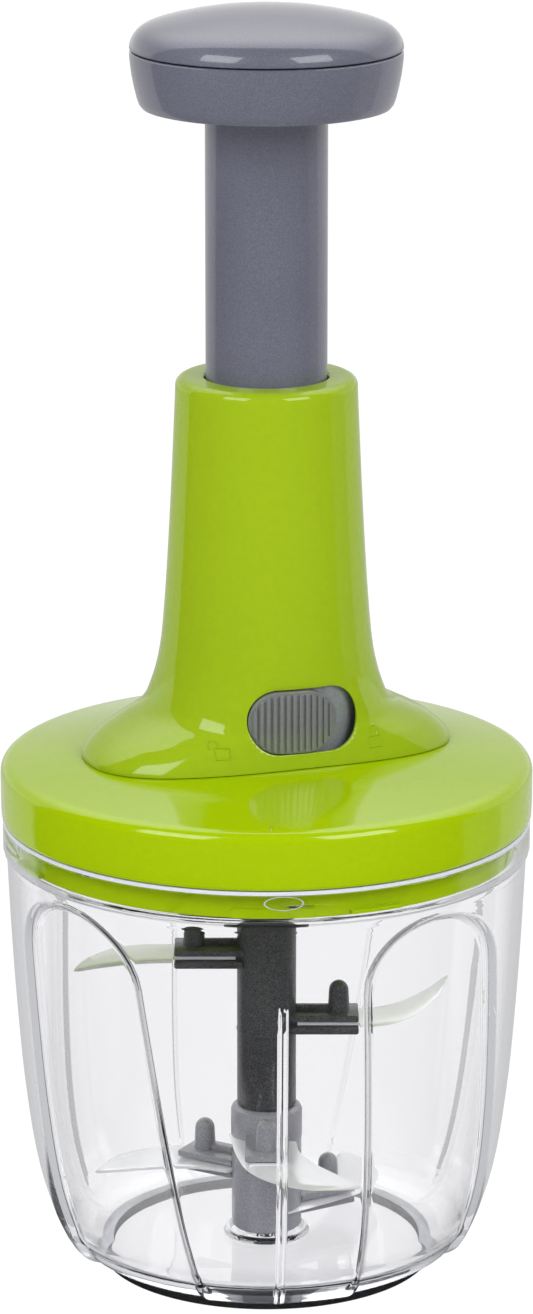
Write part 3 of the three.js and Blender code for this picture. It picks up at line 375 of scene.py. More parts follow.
# Bowl
# One thick moulding in clear styrene plastic, with four arched panels sunk
# between proud lobes, a rounded rim that the lid's shelf sits on, and a ring on
# the floor round the hub's foot.

floor_top = 6.5
bowl_foot = 3.2
under_height = 3.9
body_height = 127.3
foot_radius = 59.5
spread = 19
rim_top = 139.2
rim_radius = 79.5
wall = 2.6
panel_depth = 2.2
panel_edge = 3.2
spring_height = bowl_foot + 0.81 * body_height
arch_height = bowl_foot + 0.953 * body_height
bowl_turn = -16.9
panel_turn = -4.2
panel_lean = 9
panel_half_angle = 21.2
panel_narrowing = 4.6
rib_top = 104.6
rib_dome = 4.6
rib_height = 0.8
rib_margin = 1.9
lug_depth = 1.1
floor_radius = 47


def eased_between(places, values, place):
    """A smooth curve through given points."""
    last = len(places) - 1
    if place <= places[0]:
        return values[0]
    if place >= places[last]:
        return values[last]
    i = max(k for k in range(last) if places[k] <= place)
    slopes = []
    for k in (i, i + 1):
        low, high = max(k - 1, 0), min(k + 1, last)
        slopes.append((values[high] - values[low]) / (places[high] - places[low]))
    span = places[i + 1] - places[i]
    t = (place - places[i]) / span
    start = values[i] * (1 + 2 * t) * (1 - t) ** 2 + span * slopes[0] * t * (1 - t) ** 2
    return start + values[i + 1] * t * t * (3 - 2 * t) - span * slopes[1] * t * t * (1 - t)


def soft_step(value):
    """Eases from 0 to 1, with the value held between them."""
    value = min(max(value, 0.0), 1.0)
    return value * value * (3 - 2 * value)


def bowl_radius(height):
    """The outside of a lobe at that height."""
    shares = [0, 0.1, 0.23, 0.42, 0.61, 0.8, 1]
    radii = [0, 0.31, 0.565, 0.75, 0.86, 0.94, 1]
    return foot_radius + spread * eased_between(shares, radii, (height - bowl_foot) / body_height)


# Columns of one quarter: across a panel, down its bevel, and over a lobe.
bevel_steps = [0, 0.12, 0.34, 0.66, 0.88, 1]
panel_steps = (-0.965, -0.75, -0.5, -0.25, 0, 0.25, 0.5, 0.75, 0.965)
rib_steps = (-1.8, -1.62, -1.4, -1.1, -0.8, -0.25, 0.25, 0.8, 1.1, 1.4, 1.62, 1.8)
columns = [("panel", k) for k in panel_steps]
columns += [("bevel", s) for s in bevel_steps]
columns += [("lobe", k) for k in (0.025, 0.125, 0.25, 0.375, 0.5, 0.625, 0.75, 0.875)]
columns += [("rib", k) for k in rib_steps]
columns += [("lobe_back", k) for k in (0.17, 0.34, 0.5, 0.67, 0.83, 0.97)]
columns += [("bevel_back", s) for s in reversed(bevel_steps)]


def sunk_at(kind, value, height):
    """How far a column is sunk there, from 0 to 1."""
    over = (height - arch_height) / panel_edge
    if kind == "panel":
        return 1 - soft_step(over)
    if kind in ("bevel", "bevel_back"):
        return 1 - soft_step(max(over, value))
    return 0


def column_angle(kind, value, quarter, height, radius):
    """Where a column stands at a height, in degrees round the bowl."""
    share = (height - bowl_foot) / body_height
    lean = panel_turn + panel_lean * (0.5 - share)
    middle = bowl_turn - 45 + quarter * 90 + lean
    straight_half = panel_half_angle - panel_narrowing * min(max(share, 0), 1)
    edge = math.degrees(panel_edge / radius)

    def half(out):
        """Half a panel's width there, or its opening's, from out 0 to 1."""
        top = arch_height + panel_edge * out
        rise = max(height - spring_height, 0) / (top - spring_height)
        return (straight_half + edge * out) * math.sqrt(max(1 - rise * rise, 0))

    if kind == "panel":
        return middle + value * half(0)
    if kind == "bevel":
        return middle + half(value)
    if kind == "bevel_back":
        return middle + 90 - half(value)
    rib = bowl_turn + quarter * 90
    if kind == "rib":
        return rib + math.degrees(value / radius)
    clearance = math.degrees(rib_margin / radius)
    if kind == "lobe":
        return middle + half(1) + (rib - clearance - middle - half(1)) * value
    return rib + clearance + (middle + 90 - half(1) - rib - clearance) * value


lug_heights = (132.6, 133.2, 133.9, 134.9, 135.6, 136.2)


def bowl_rows():
    """Rows up the outside, over the rim, down the inside and in across the floor."""
    rows = [("under", under_height, r) for r in (0, 12, 24, 36, 46, 50.4)]
    for a in (0, 0.2, 0.4, 0.6, 0.8, 1.0, 1.15, 1.26):
        rows.append(("foot", under_height + 6.5 * (1 - math.cos(a)), 52 + 10.4 * math.sin(a)))
    heights = [9.4, 11, 13.5, 16, 20, 25, 30, 36, 42, 48, 54, 60, 66, 72, 78, 84, 90, 95, 98]
    heights += [rib_top - drop for drop in (rib_dome, 2.8, 1.4, 0.5, 0)]
    arch = arch_height - spring_height
    for a in (0, 12, 24, 34, 43, 51, 58, 64, 70, 75, 80, 84, 87.5):
        heights.append(spring_height + arch * math.sin(math.radians(a)))
    heights += [arch_height + panel_edge * s for s in (0, 0.12, 0.34, 0.5, 0.66, 0.88, 1)]
    rows += [("wall", h, bowl_radius(h)) for h in heights]
    step = 129.3
    rows += [("wall", step, bowl_radius(step)), ("rim", 129.8, 78.6), ("rim", 130.3, 79.2)]
    rows += [("rim", h, rim_radius) for h in (130.9, 132, *lug_heights, 138.3, 138.9)]
    rows += [("rim", rim_top, 79.2), ("rim", rim_top, 77.2), ("rim", 138.9, 76.9)]
    rows += [("lug", h, 76.9) for h in (138.3, *reversed(lug_heights), 131.9)]
    rows += [("rim", 131.2, 76.6), ("rim", 130.5, 75.95), ("rim", step, bowl_radius(step) - wall)]
    rows += [("inner", h, bowl_radius(h) - wall) for h in reversed(heights) if h > 15.9]
    floor_round = 9.43
    reach = bowl_radius(floor_top + floor_round) - wall - floor_radius
    for a in (82, 72, 62, 52, 42, 32, 22, 12, 4, 0):
        height = floor_top + floor_round * (1 - math.cos(math.radians(a)))
        rows.append(("corner", height, floor_radius + reach * math.sin(math.radians(a))))
    rows += [("floor", floor_top, r) for r in (38, 28, 20, 14.6, 13.2)]
    # The ring round the hub's foot, and then the boss that holds the pin.
    hub_ring = [(6.8, 12.9), (7.9, 12.6), (8.1, 12.3), (8.1, 11.8), (7.9, 11.5), (6.8, 11.2)]
    boss = [(floor_top, 10.8), (floor_top, 7), (8.2, 6.3), (8.5, 6), (8.5, 3), (8.3, 2.8)]
    rows += [("floor", *place) for place in (*hub_ring, *boss, (4.4, 2.8), (4.3, 0))]
    return rows


rows = bowl_rows()
all_columns = 4 * len(columns)
alone()
bpy.ops.mesh.primitive_grid_add(
    x_subdivisions=all_columns, y_subdivisions=len(rows) - 1, size=1, location=(0, 0, 0)
)
bowl = bpy.context.object
bowl.name = "clear_bowl"
# Painted shade: darker lines painted along the panel bevels, the rib and the rim.
painted_edge_shade_mask = bowl.data.attributes.new("painted_edge_shade", "FLOAT", "POINT")
for corner in bowl.data.vertices:
    i = round((corner.co.x + 0.5) * all_columns) % all_columns
    j = round((corner.co.y + 0.5) * (len(rows) - 1))
    part, height, radius = rows[j]
    kind, value = columns[i % len(columns)]
    quarter = i // len(columns)
    shape_height = min(max(height, bowl_foot), arch_height + panel_edge)
    if part in ("corner", "floor", "under"):
        # These rows keep the outline that the wall has near its foot.
        shape_height = 9.0
    angle = math.radians(column_angle(kind, value, quarter, shape_height, max(radius, 40)))
    sunk = panel_depth * sunk_at(kind, value, height)
    if part in ("rim", "lug", "floor", "under"):
        sunk = 0
    if part == "foot":
        sunk *= soft_step((height - under_height) / 1.6 + 0.35)
    if part == "corner":
        sunk *= soft_step((height - floor_top) / 9)
    if kind == "rib" and quarter == 3 and part in ("foot", "wall") and height < rib_top:
        above = max(height - rib_top + rib_dome, 0) / rib_dome
        proud = rib_height * soft_step((1.55 - abs(value)) / 0.65)
        groove = 1 - 0.45 * soft_step((0.5 - abs(value)) / 0.3)
        sunk -= proud * math.sqrt(max(0, 1 - above ** 2)) * groove
    if part == "lug":
        past = math.degrees(angle) - bowl_turn - quarter * 90
        past -= 360 * round(past / 360)
        along = soft_step((past + 2) / 4) * soft_step((14 - past) / 4)
        up = soft_step((height - lug_heights[0]) / 1.6)
        down = soft_step((lug_heights[-1] - height) / 1.6)
        sunk += lug_depth * along * up * down
    # Painted shade lines across the bevels round each panel and down the rib's sides.
    if part in ("wall", "foot"):
        crossing = 0
        over = (height - arch_height) / panel_edge
        if kind in ("bevel", "bevel_back"):
            crossing = 1 - abs(2 * min(max(over, value, 0), 1) - 1)
        elif kind == "panel":
            crossing = 1 - abs(2 * min(max(over, 0), 1) - 1)
        elif kind == "rib" and quarter == 3 and height < rib_top - 1 and 0.9 < abs(value) < 1.5:
            crossing = 0.5
        painted_edge_shade_mask.data[corner.index].value = crossing
    # Painted shade along the rim's outer rows, darkest at its foot.
    if part == "rim" and radius > 78:
        painted_edge_shade_mask.data[corner.index].value = 0.9 if height < 130.5 else 0.25
    reach = (radius - sunk) * mm
    corner.co = (reach * math.cos(angle), reach * math.sin(angle), height * mm)
bpy.ops.object.mode_set(mode="EDIT")
close_up()

clear = Finish("clear_plastic")
edge_on = clear.node("ShaderNodeLayerWeight", {}, {"Blend": 0.5}, "Facing")
streak = clear.noise(60, 2.0)
# Painted shade: the near-white tint turns dark blue-grey where the wall is seen edge on.
tint_and_edge_shade = clear.mix((edge_on ** 3.0).ramp(0.25, 1.0), (0.975, 0.973, 0.986, 1), (0.40, 0.41, 0.50, 1))
painted_edge_shade = clear.node("ShaderNodeAttribute", {"attribute_name": "painted_edge_shade"}, {}, "Fac")
# Painted shade: the mask darkens the colour towards dark blue-grey, more where the wall is seen
# edge on.
shaded = clear.mix(painted_edge_shade * edge_on.ramp(0.15, 0.75, 0.16, 1.0), tint_and_edge_shade, (0.09, 0.095, 0.13, 1))
glass = clear.shader(
    Base_Color=shaded,
    Roughness=0.015 + (streak - 0.5) * 0.02,
    Transmission_Weight=1.0,
    IOR=1.47,
)
# Shadows, and what other glossy pieces mirror, go straight through it.
straight_through = clear.node("ShaderNodeBsdfTransparent", {}, {"Color": (0.97, 0.975, 0.985, 1)})
unbent = clear.ray("Is Shadow Ray").larger(clear.ray("Glossy Depth").ramp(1, 2))
clear_plastic = clear.done(clear.layer(unbent, glass, straight_through))
fitted(bowl, clear_plastic, "bowl", "clear_plastic", "bowl", smooth=38)

# Rim's edge
# The top edge of the bowl's rim, moulded with the bowl, made as an opaque pale
# ring where the lid lands on it. It shows as a pale line under the lid.

pale_rim_plastic = plastic("pale_rim_edge_plastic", (0.74, 0.75, 0.86), 0.35, 900, 0.03, 0.006)
edge_foot = rim_top + 0.05
rim_edge = turned("rim_edge", [
    (77.3, edge_foot), (79.3, edge_foot), (79.55, 139.4), (79.55, 140.2), (79.35, 140.4),
    (77.5, 140.4), (77.3, 140.2), (77.3, edge_foot),
], around=144)
fitted(rim_edge, pale_rim_plastic, "bowl", "clear_plastic")

# Oval mark
# A plain raised oval on the rim's front, moulded with the bowl in the same clear
# plastic, over the lug behind it.

alone()
bpy.ops.mesh.primitive_torus_add(
    major_radius=1, minor_radius=0.12, major_segments=64, minor_segments=8, location=(0, 0, 0)
)
oval = bpy.context.object
oval.name = "rim_oval"
oval_height = 137.0
oval_half_width = 5.6
oval_half_height = 2.0
for corner in oval.data.vertices:
    across, up, out = corner.co
    ring_radius = math.hypot(across, up)
    thin = 1 + (ring_radius - 1) * 0.35
    across, up = across / ring_radius * thin, up / ring_radius * thin
    angle = math.radians(bowl_turn - 90) + across * oval_half_width / (rim_radius + 0.1)
    reach = (rim_radius + 0.08 + out * 2.4) * mm
    height = (oval_height + up * oval_half_height) * mm
    corner.co = (reach * math.cos(angle), reach * math.sin(angle), height)
bpy.ops.object.mode_set(mode="EDIT")
close_up()
matt_mark = plastic(
    "matt_mark", (0.80, 0.80, 0.86), 0.35, 900, 0.04, 0.006, Transmission_Weight=0.35,
)
fitted(oval, matt_mark, "bowl", "clear_plastic")

# Pivot pin
# A polished steel pin pressed into the floor's boss, inside the blade unit. The
# spindle, its clip and its washer are turned from the same steel.


def metal(name, colour, rough, streaks, contrast=0.14, depth=0.004, **extra):
    """Steel with fine marks from rolling or turning, and a slightly cloudy polish."""
    finish = Finish(name)
    stretched = finish.node("ShaderNodeMapping", {}, {"Vector": finish.place, "Scale": streaks})
    marking = {"Vector": stretched, "Scale": 1.0, "Detail": 3.0}
    mark = finish.node("ShaderNodeTexNoise", {}, marking)
    cloud = finish.noise(70)
    dark = tuple(c * (1 - contrast) for c in colour) + (1,)
    light = tuple(min(1, c * (1 + contrast / 2)) for c in colour) + (1,)
    surface = finish.shader(
        Base_Color=finish.mix(mark.ramp(0.3, 0.7), dark, light),
        Roughness=rough + (cloud - 0.5) * 0.12 + (mark - 0.5) * 0.10,
        Normal=finish.bump(mark, depth),
        **extra,
    )
    return finish.done(surface)


def refinished(material, *names):
    """Gives solids that stay as they are their material."""
    for name in names:
        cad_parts[name].data.materials.clear()
        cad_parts[name].data.materials.append(material)


turned_steel = metal("turned_steel", (0.60, 0.60, 0.61), 0.24, (60, 60, 4000), Metallic=1.0)
refinished(turned_steel, "pivot_pin", "drive_spindle", "spindle_clip", "thrust_washer")

# Blade unit
# Two grey mouldings plug into each other: the hub, with three arms low down, and
# the shaft, with two arms further up. Each arm grips a blade between two plates
# under a round-topped peg.

hub_foot = 8.8
hub_top = 47.7
shaft_foot = 48.0
shaft_top = 122.0
hub_radius = 10.7
shaft_radius = 9.0
lower_angles = [9.5, 129.5, 249.5]
upper_angles = [-20.5, 159.5]
lower_heights = [hub_foot + (hub_top - hub_foot) * share for share in (0.16, 0.455, 0.75)]
upper_heights = [shaft_foot + (shaft_top - shaft_foot) * share for share in (0.365, 0.649)]


def slab(across, height, from_x, to_x, chamfer):
    """A flat bar lying along X, with chamfered edges."""
    middle = ((from_x + to_x) / 2 * mm, 0, sum(height) / 2 * mm)
    bpy.ops.mesh.primitive_cube_add(size=1, location=middle)
    bar = bpy.context.object
    bar.scale = ((to_x - from_x) * mm, across * mm, (height[1] - height[0]) * mm)
    bpy.ops.object.transform_apply(location=False, rotation=False, scale=True)
    eased(bar, chamfer)
    return bar


def peg(radius, foot, top, place):
    """A slightly tapered peg with a domed end."""
    here, now = foot, radius * 1.12
    bpy.ops.mesh.primitive_circle_add(
        vertices=24, radius=now * mm, fill_type="NGON", location=(place * mm, 0, foot * mm)
    )
    pin = bpy.context.object
    bpy.ops.object.mode_set(mode="EDIT")
    bpy.ops.mesh.select_all(action="SELECT")
    steps = [(top - radius, radius)]
    for a in (0.35, 0.7, 1.0, 1.25, 1.45):
        steps.append((top - radius * (1 - math.sin(a)), radius * math.cos(a)))
    for height, wide in steps:
        rise = (0, 0, (height - here) * mm)
        bpy.ops.mesh.extrude_region_move(TRANSFORM_OT_translate={"value": rise})
        centre = (place * mm, 0, height * mm)
        bpy.ops.transform.resize(value=(wide / now, wide / now, 1), center_override=centre)
        here, now = height, wide
    close_up()
    return pin


def joined(name, pieces):
    """Makes one piece of several."""
    alone()
    for one in pieces:
        one.select_set(True)
    bpy.context.view_layer.objects.active = pieces[0]
    bpy.ops.object.join()
    whole = bpy.context.object
    whole.name = name
    return whole


def turned_about(piece, degrees):
    """Turns a piece about the chopper's axis, in its mesh."""
    picked(piece)
    bpy.ops.object.transform_apply(location=True, rotation=True, scale=True)
    piece.rotation_euler = (0, 0, math.radians(degrees))
    bpy.ops.object.transform_apply(location=True, rotation=True, scale=True)
    return piece


arm_end = 28
arm_width = 13


def arm(root, angle, height):
    """Two plates, with a wall and a stake between them, and a rib and a peg on top."""
    start = root - 2
    made = [
        slab(arm_width, (height + 0.8, height + 2.8), start, arm_end, 0.5),
        slab(arm_width, (height - 3.2, height - 0.8), start, arm_end, 0.7),
        slab(9, (height - 3.0, height + 2.6), start, root + 1.5, 0.3),
        slab(2.2, (height + 2.4, height + 4.6), start, 19.6, 0.5),
        peg(3.0, height + 2.2, height + 12.3, 22),
        peg(2.0, height - 2, height + 1.6, (root + arm_end) / 2),
    ]
    return turned_about(joined("arm", made), angle)


hub = turned("blade_hub", [
    (2.9, hub_foot), (10.2, hub_foot), (hub_radius, hub_foot + 0.5), (hub_radius, 37.2),
    (10.9, 37.8), (10.9, 46.0), (10.5, 47.0), (9.3, hub_top), (6.2, hub_top), (6.2, 66.5),
    (3.2, 66.5), (2.9, 60), (2.9, hub_foot),
], around=64)
arms = [arm(hub_radius, angle, height) for angle, height in zip(lower_angles, lower_heights)]
hub = joined("blade_hub", [hub, *arms])
hub_plastic = plastic(
    "hub_plastic", (0.255, 0.253, 0.280), 0.34, 2200, 0.22, 0.02,
    Coat_Weight=0.6, Coat_Roughness=0.12,
)
fitted(hub, hub_plastic, "blades", "hub_plastic", "lower_hub")

shaft = turned("upper_shaft_piece", [
    (6.6, shaft_foot), (8.8, shaft_foot), (shaft_radius, shaft_foot + 0.3), (shaft_radius, 71.7),
    (9.15, 71.9), (9.15, 72.3), (shaft_radius, 72.5), (shaft_radius, shaft_top - 0.4),
    (8.7, shaft_top), (0.01, shaft_top),
], around=64)
tang = slab(5, (shaft_top - 0.5, shaft_top + 9), -8.4, 8.4, 0.4)
arms = [arm(shaft_radius, angle, height) for angle, height in zip(upper_angles, upper_heights)]
shaft = joined("blade_shaft", [shaft, tang, *arms])
shaft_plastic = plastic(
    "shaft_plastic", (0.062, 0.062, 0.067), 0.40, 2400, 0.55, 0.03,
    Specular_IOR_Level=0.2, Coat_Weight=0.5, Coat_Roughness=0.12,
)
fitted(shaft, shaft_plastic, "blades", "shaft_plastic", "upper_shaft")

# Blades
# Five sickle blades stamped from one millimetre stainless sheet, ground thin on
# the long curved edge that leads as the unit turns.

blade_steel = metal(
    "stainless_steel", (0.95, 0.94, 0.98), 0.20, (900, 60, 900), 0.03, 0.0006, Metallic=0.4,
)
outline_places = [0, 0.25, 0.5, 0.75, 0.88, 1]
low_outline = (
    [(1, -11.6), (20, -9), (33, -5), (42.5, 3.5), (46.8, 14), (45, 28)],
    [(9, 9), (18, 10.2), (27, 14.6), (36, 21.4), (40.5, 25), (45, 28)],
)
high_outline = (
    [(28.3, -8.5), (38.6, -6.2), (46.8, 0.9), (53, 12.6), (55.4, 20), (57, 29)],
    [(28.3, 8.5), (35.4, 9.8), (42.6, 13.6), (49.8, 20.1), (53.4, 24.4), (57, 29)],
)


def blade(name, outline, root, rise, angle, height):
    """One blade, curved up by the rise at its tip, and its flat root between the plates."""
    # Places across the blade, from the cutting edge over the top and back below.
    half = 0.5
    across = [(0, 0.05), (0.08, 0.28)]
    across += [(v, half) for v in (0.15, 0.5, 0.8, 0.97)] + [(1, 0.42)]
    loop = across + [(v, -t) for v, t in reversed(across)]
    first, tip = outline[0][0][0], outline[0][-1][0]
    alone()
    bpy.ops.mesh.primitive_grid_add(
        x_subdivisions=40, y_subdivisions=len(loop), size=1, location=(0, 0, 0)
    )
    sheet_piece = bpy.context.object
    sheet_piece.name = name
    root_corners = set()
    for corner in sheet_piece.data.vertices:
        u = corner.co.x + 0.5
        if u < 0.001:
            root_corners.add(corner.index)
        v, thick = loop[round((corner.co.y + 0.5) * len(loop)) % len(loop)]
        cutting, back = (
            Vector((
                eased_between(outline_places, [x for x, y in edge], u),
                eased_between(outline_places, [y for x, y in edge], u),
            ))
            for edge in outline
        )
        point = cutting.lerp(back, v)
        thick *= min(1, (back - cutting).length / 1.5)
        out = max(0, (point.x - first) / (tip - first))
        corner.co = (point.x * mm, point.y * mm, (thick + rise * out * out + height) * mm)
    bpy.ops.object.mode_set(mode="EDIT")
    bpy.ops.mesh.select_mode(type="EDGE")
    bpy.ops.object.mode_set(mode="OBJECT")
    for edge in sheet_piece.data.edges:
        edge.select = all(k in root_corners for k in edge.vertices)
    bpy.ops.object.mode_set(mode="EDIT")
    bpy.ops.mesh.edge_face_add()
    close_up()
    tang_piece = slab(10.4, (height - half, height + half), root + 0.4, arm_end + 0.6, 0.15)
    whole = joined(name, [sheet_piece, tang_piece])
    return turned_about(whole, angle)


for i, (angle, height) in enumerate(zip(lower_angles, lower_heights), 1):
    lower = blade(f"low_blade_{i}", low_outline, hub_radius, -0.8, angle, height)
    fitted(lower, blade_steel, "blades", "stainless_steel", f"lower_blade_{i}", smooth=28)
for i, (angle, height) in enumerate(zip(upper_angles, upper_heights), 1):
    upper = blade(f"high_blade_{i}", high_outline, shaft_radius, 4, angle, height)
    fitted(upper, blade_steel, "blades", "stainless_steel", f"upper_blade_{i}", smooth=28)

# Hub bush and the other bearings
# Plain bushes, guides and the nut, moulded in slippery white plastic and pressed in
# place, all inside. The socket, the ratchet and the nut's retainer are grey.

white_plastic = plastic("bearing_plastic", (0.78, 0.78, 0.75), 0.42, 1200, 0.03, 0.01)
bushes = ("hub_bush", "guide_sleeve", "spindle_bush")
refinished(white_plastic, *bushes, "spring_seat", "drive_nut")
refinished(shaft_plastic, "drive_socket")
refinished(hub_plastic, "ratchet_driver", "nut_retainer")

# Seal
# A soft pale ring moulded in silicone rubber, stretched round the lid's skirt so
# that it meets the bowl's rim.

seal_rubber = plastic("seal_rubber", (0.66, 0.70, 0.80), 0.5, 800, 0.04, 0.02)
seal = turned("rim_seal", [
    (75.2, 138.7), (76.3, 138.7), (76.5, 138.9), (76.5, 140.1),
    (76.3, 140.3), (75.2, 140.3), (75.2, 138.7),
])
fitted(seal, seal_rubber, "seal", "seal_rubber", "lid_seal")

# Lid
# A green moulding with a low crown, a rounded shoulder and a deep side, a shelf
# that sits on the rim, and a skirt inside the bowl with the ramps that the rim's
# lugs slide under.

lid_foot = 140.6
lid_radius = 80
lid_wall = 2.4
skirt_radius = 74.9
shoulder = 3.8
crown_top = 165.0
crown_drop = 6.6
crown_radius = lid_radius - shoulder
shoulder_middle = crown_top - crown_drop - shoulder


def crown(radius):
    """The height of the lid's low dome at that radius."""
    return crown_top - crown_drop * (radius / crown_radius) ** 2


lid_path = [(14, crown(14) - lid_wall), (14, crown(14) - 0.3), (14.3, crown(14.3))]
lid_path += [(r, crown(r)) for r in (20, 28, 36, 44, 52, 58, 63, 67, 70, 73, 75)]
for a in (1.45, 1.2, 0.95, 0.7, 0.45, 0.2, 0):
    out, up = shoulder * math.cos(a), shoulder * math.sin(a)
    lid_path.append((crown_radius + out, shoulder_middle + up))
lid_path += [(lid_radius, 150), (lid_radius, 146), (79.85, 141.9), (79.6, 141.1)]
lid_path += [(79.1, 140.7), (78.5, lid_foot)]
lid_path += [(skirt_radius, height) for height in (lid_foot, 136, 131.5)]
lid_path += [(74.5, 131), (72.9, 131), (72.5, 131.4), (72.5, 143), (77.6, 143)]
lid_path += [(77.6, shoulder_middle)]
lid_path += [(r, crown(r) - lid_wall) for r in (75, 60, 45, 30, 14)]
lid = turned("lid_top", lid_path, around=144)


def wrapped(name, radius, depth, outline):
    """A pad with that outline, given as [degrees, height], wrapped round the axis."""
    alone()
    bpy.ops.mesh.primitive_circle_add(
        vertices=len(outline), radius=1, fill_type="NGON", location=(0, 0, 0)
    )
    pad = bpy.context.object
    pad.name = name
    for corner, (degrees, height) in zip(pad.data.vertices, outline):
        corner.co = (degrees, height, 0)
    bpy.ops.object.mode_set(mode="EDIT")
    bpy.ops.mesh.select_all(action="SELECT")
    bpy.ops.mesh.extrude_region_move(TRANSFORM_OT_translate={"value": (0, 0, 1)})
    for cut in range(-40, 41):
        bpy.ops.mesh.select_all(action="SELECT")
        bpy.ops.mesh.bisect(plane_co=(cut * 1.5, 0, 0), plane_no=(1, 0, 0))
    bpy.ops.object.mode_set(mode="OBJECT")
    for corner in pad.data.vertices:
        degrees, height, level = corner.co
        reach = (radius + depth * level) * mm
        angle = math.radians(degrees)
        corner.co = (reach * math.cos(angle), reach * math.sin(angle), height * mm)
    bpy.ops.object.mode_set(mode="EDIT")
    close_up()
    return pad


ramp_outline = [(0, 131.8), (12, 131.8), (12, 132.9), (0, 133.1)]
pad_outline = [(-8.8, 132.6), (-8.4, 131.6), (-7.6, 131.2), (10, 131.2)]
pad_outline += [(10, 134.3), (-7.7, 134.3), (-8.5, 133.8)]
arc_outline = [(-23, 131.9), (-22.2, 131.9), (-19.4, 134.9)]
arc_outline += [(-15.8, 137.7), (-16.2, 138.2), (-20.2, 135.4)]
ramps = []
pads = []
for i in range(4):
    ramp = wrapped("ramp", 74.0, 2.5, ramp_outline)
    ramps.append(turned_about(ramp, bowl_turn + i * 90 + 15))
for i in range(4):
    for name, outline in (("pad", pad_outline), ("arc", arc_outline)):
        pad = wrapped(name, skirt_radius - 0.1, 0.45, outline)
        pads.append(turned_about(pad, -110 + i * 90))
lid = joined("lid_top", [lid, *ramps, *pads])


def raised_line(name, piece, width, places, along):
    """A thin bead on a piece's skin, under the places seen from that direction."""
    far = 0.1
    curve = bpy.data.curves.new(name, "CURVE")
    curve.dimensions = "3D"
    curve.bevel_depth = width * mm
    curve.bevel_resolution = 2
    curve.use_fill_caps = True
    spline = curve.splines.new("POLY")
    spline.points.add(len(places) - 1)
    for point, place in zip(spline.points, places):
        start = Vector(place) * mm - along * far - piece.location
        struck, where, _, _ = piece.ray_cast(start, along)
        assert struck, "the bead misses " + piece.name
        point.co = (*(where + piece.location), 1)
    line = bpy.data.objects.new(name, curve)
    bpy.context.scene.collection.objects.link(line)
    picked(line)
    bpy.ops.object.convert(target="MESH")
    return bpy.context.object


tick_turn = math.radians(-109.5)
tick_places = [
    (r * math.cos(tick_turn), r * math.sin(tick_turn), crown_top) for r in (74, 75, 76, 77, 77.8)
]
bpy.context.view_layer.update()
tick = raised_line("tick", lid, 0.3, tick_places, Vector((0, 0, -1)))
lid = joined("lid_top", [lid, tick])
lid_green = plastic(
    "lid_plastic", (0.385, 0.555, 0.0005), 0.30, 500, 0.02, 0.004,
    Specular_IOR_Level=0.0, Coat_Weight=1.0, Coat_Roughness=0.10, Coat_IOR=1.5,
)
fitted(lid, lid_green, "lid", "lid_plastic", "lid_cover")

# Underplate
# A flat plate in the lid's green plastic, screwed to bosses under the crown, with a
# sleeve for the drive socket. The steel screws all over the chopper are like these.

plate_foot = 131.8
under = turned("lid_under", [
    (12.8, plate_foot), (71.7, plate_foot), (72.2, 132.2), (72.2, 134.2),
    (15.4, 134.2), (15.4, 150.6), (12.8, 150.6), (12.8, plate_foot),
])
eased(under, 0.3)
fitted(under, lid_green, "lid", "lid_plastic", "lid_underplate")
screw_steel = metal("screw_steel", (0.50, 0.50, 0.52), 0.32, (3000, 3000, 300), Metallic=1.0)
refinished(screw_steel, *(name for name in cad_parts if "screw" in name))

# Housing
# The tall green shell on the lid, an egg-shaped foot drawn up into a round neck,
# moulded in one with a slot for the lock button at the front.

housing_foot = 160.05
housing_height = 115
housing_top = housing_foot + housing_height
neck_radius = 27
neck_round = 2.7
neck_hole = 18.9
flare_top = 186
foot_reach = 29.6
foot_depth = 8.3
shell_wall = 1.1
height_shares = [0, 0.03, 0.075, 0.107, 0.13, 0.162, 0.261, 0.391, 0.652, 0.965]
reach_shares = [1, 0.993, 0.807, 0.571, 0.392, 0.29, 0.179, 0.122, 0.057, 0]
depth_shares = [1, 0.99, 0.855, 0.783, 0.747, 0.711, 0.578, 0.434, 0.205, 0]
square_shares = [2.3, 2.3, 2.28, 2.25, 2.22, 2.2, 2.05, 2, 2, 2]


def housing_point(angle, height, inset):
    """A place on the shell's outline, which is squarish at the foot and round above."""
    share = (height - housing_foot) / housing_height
    reach = neck_radius + foot_reach * eased_between(height_shares, reach_shares, share) - inset
    depth = neck_radius + foot_depth * eased_between(height_shares, depth_shares, share) - inset
    power = 2 / eased_between(height_shares, square_shares, share)
    c, s = math.cos(angle), math.sin(angle)
    x = math.copysign(abs(c) ** power, c) * reach
    y = math.copysign(abs(s) ** power, s) * depth
    return x, y


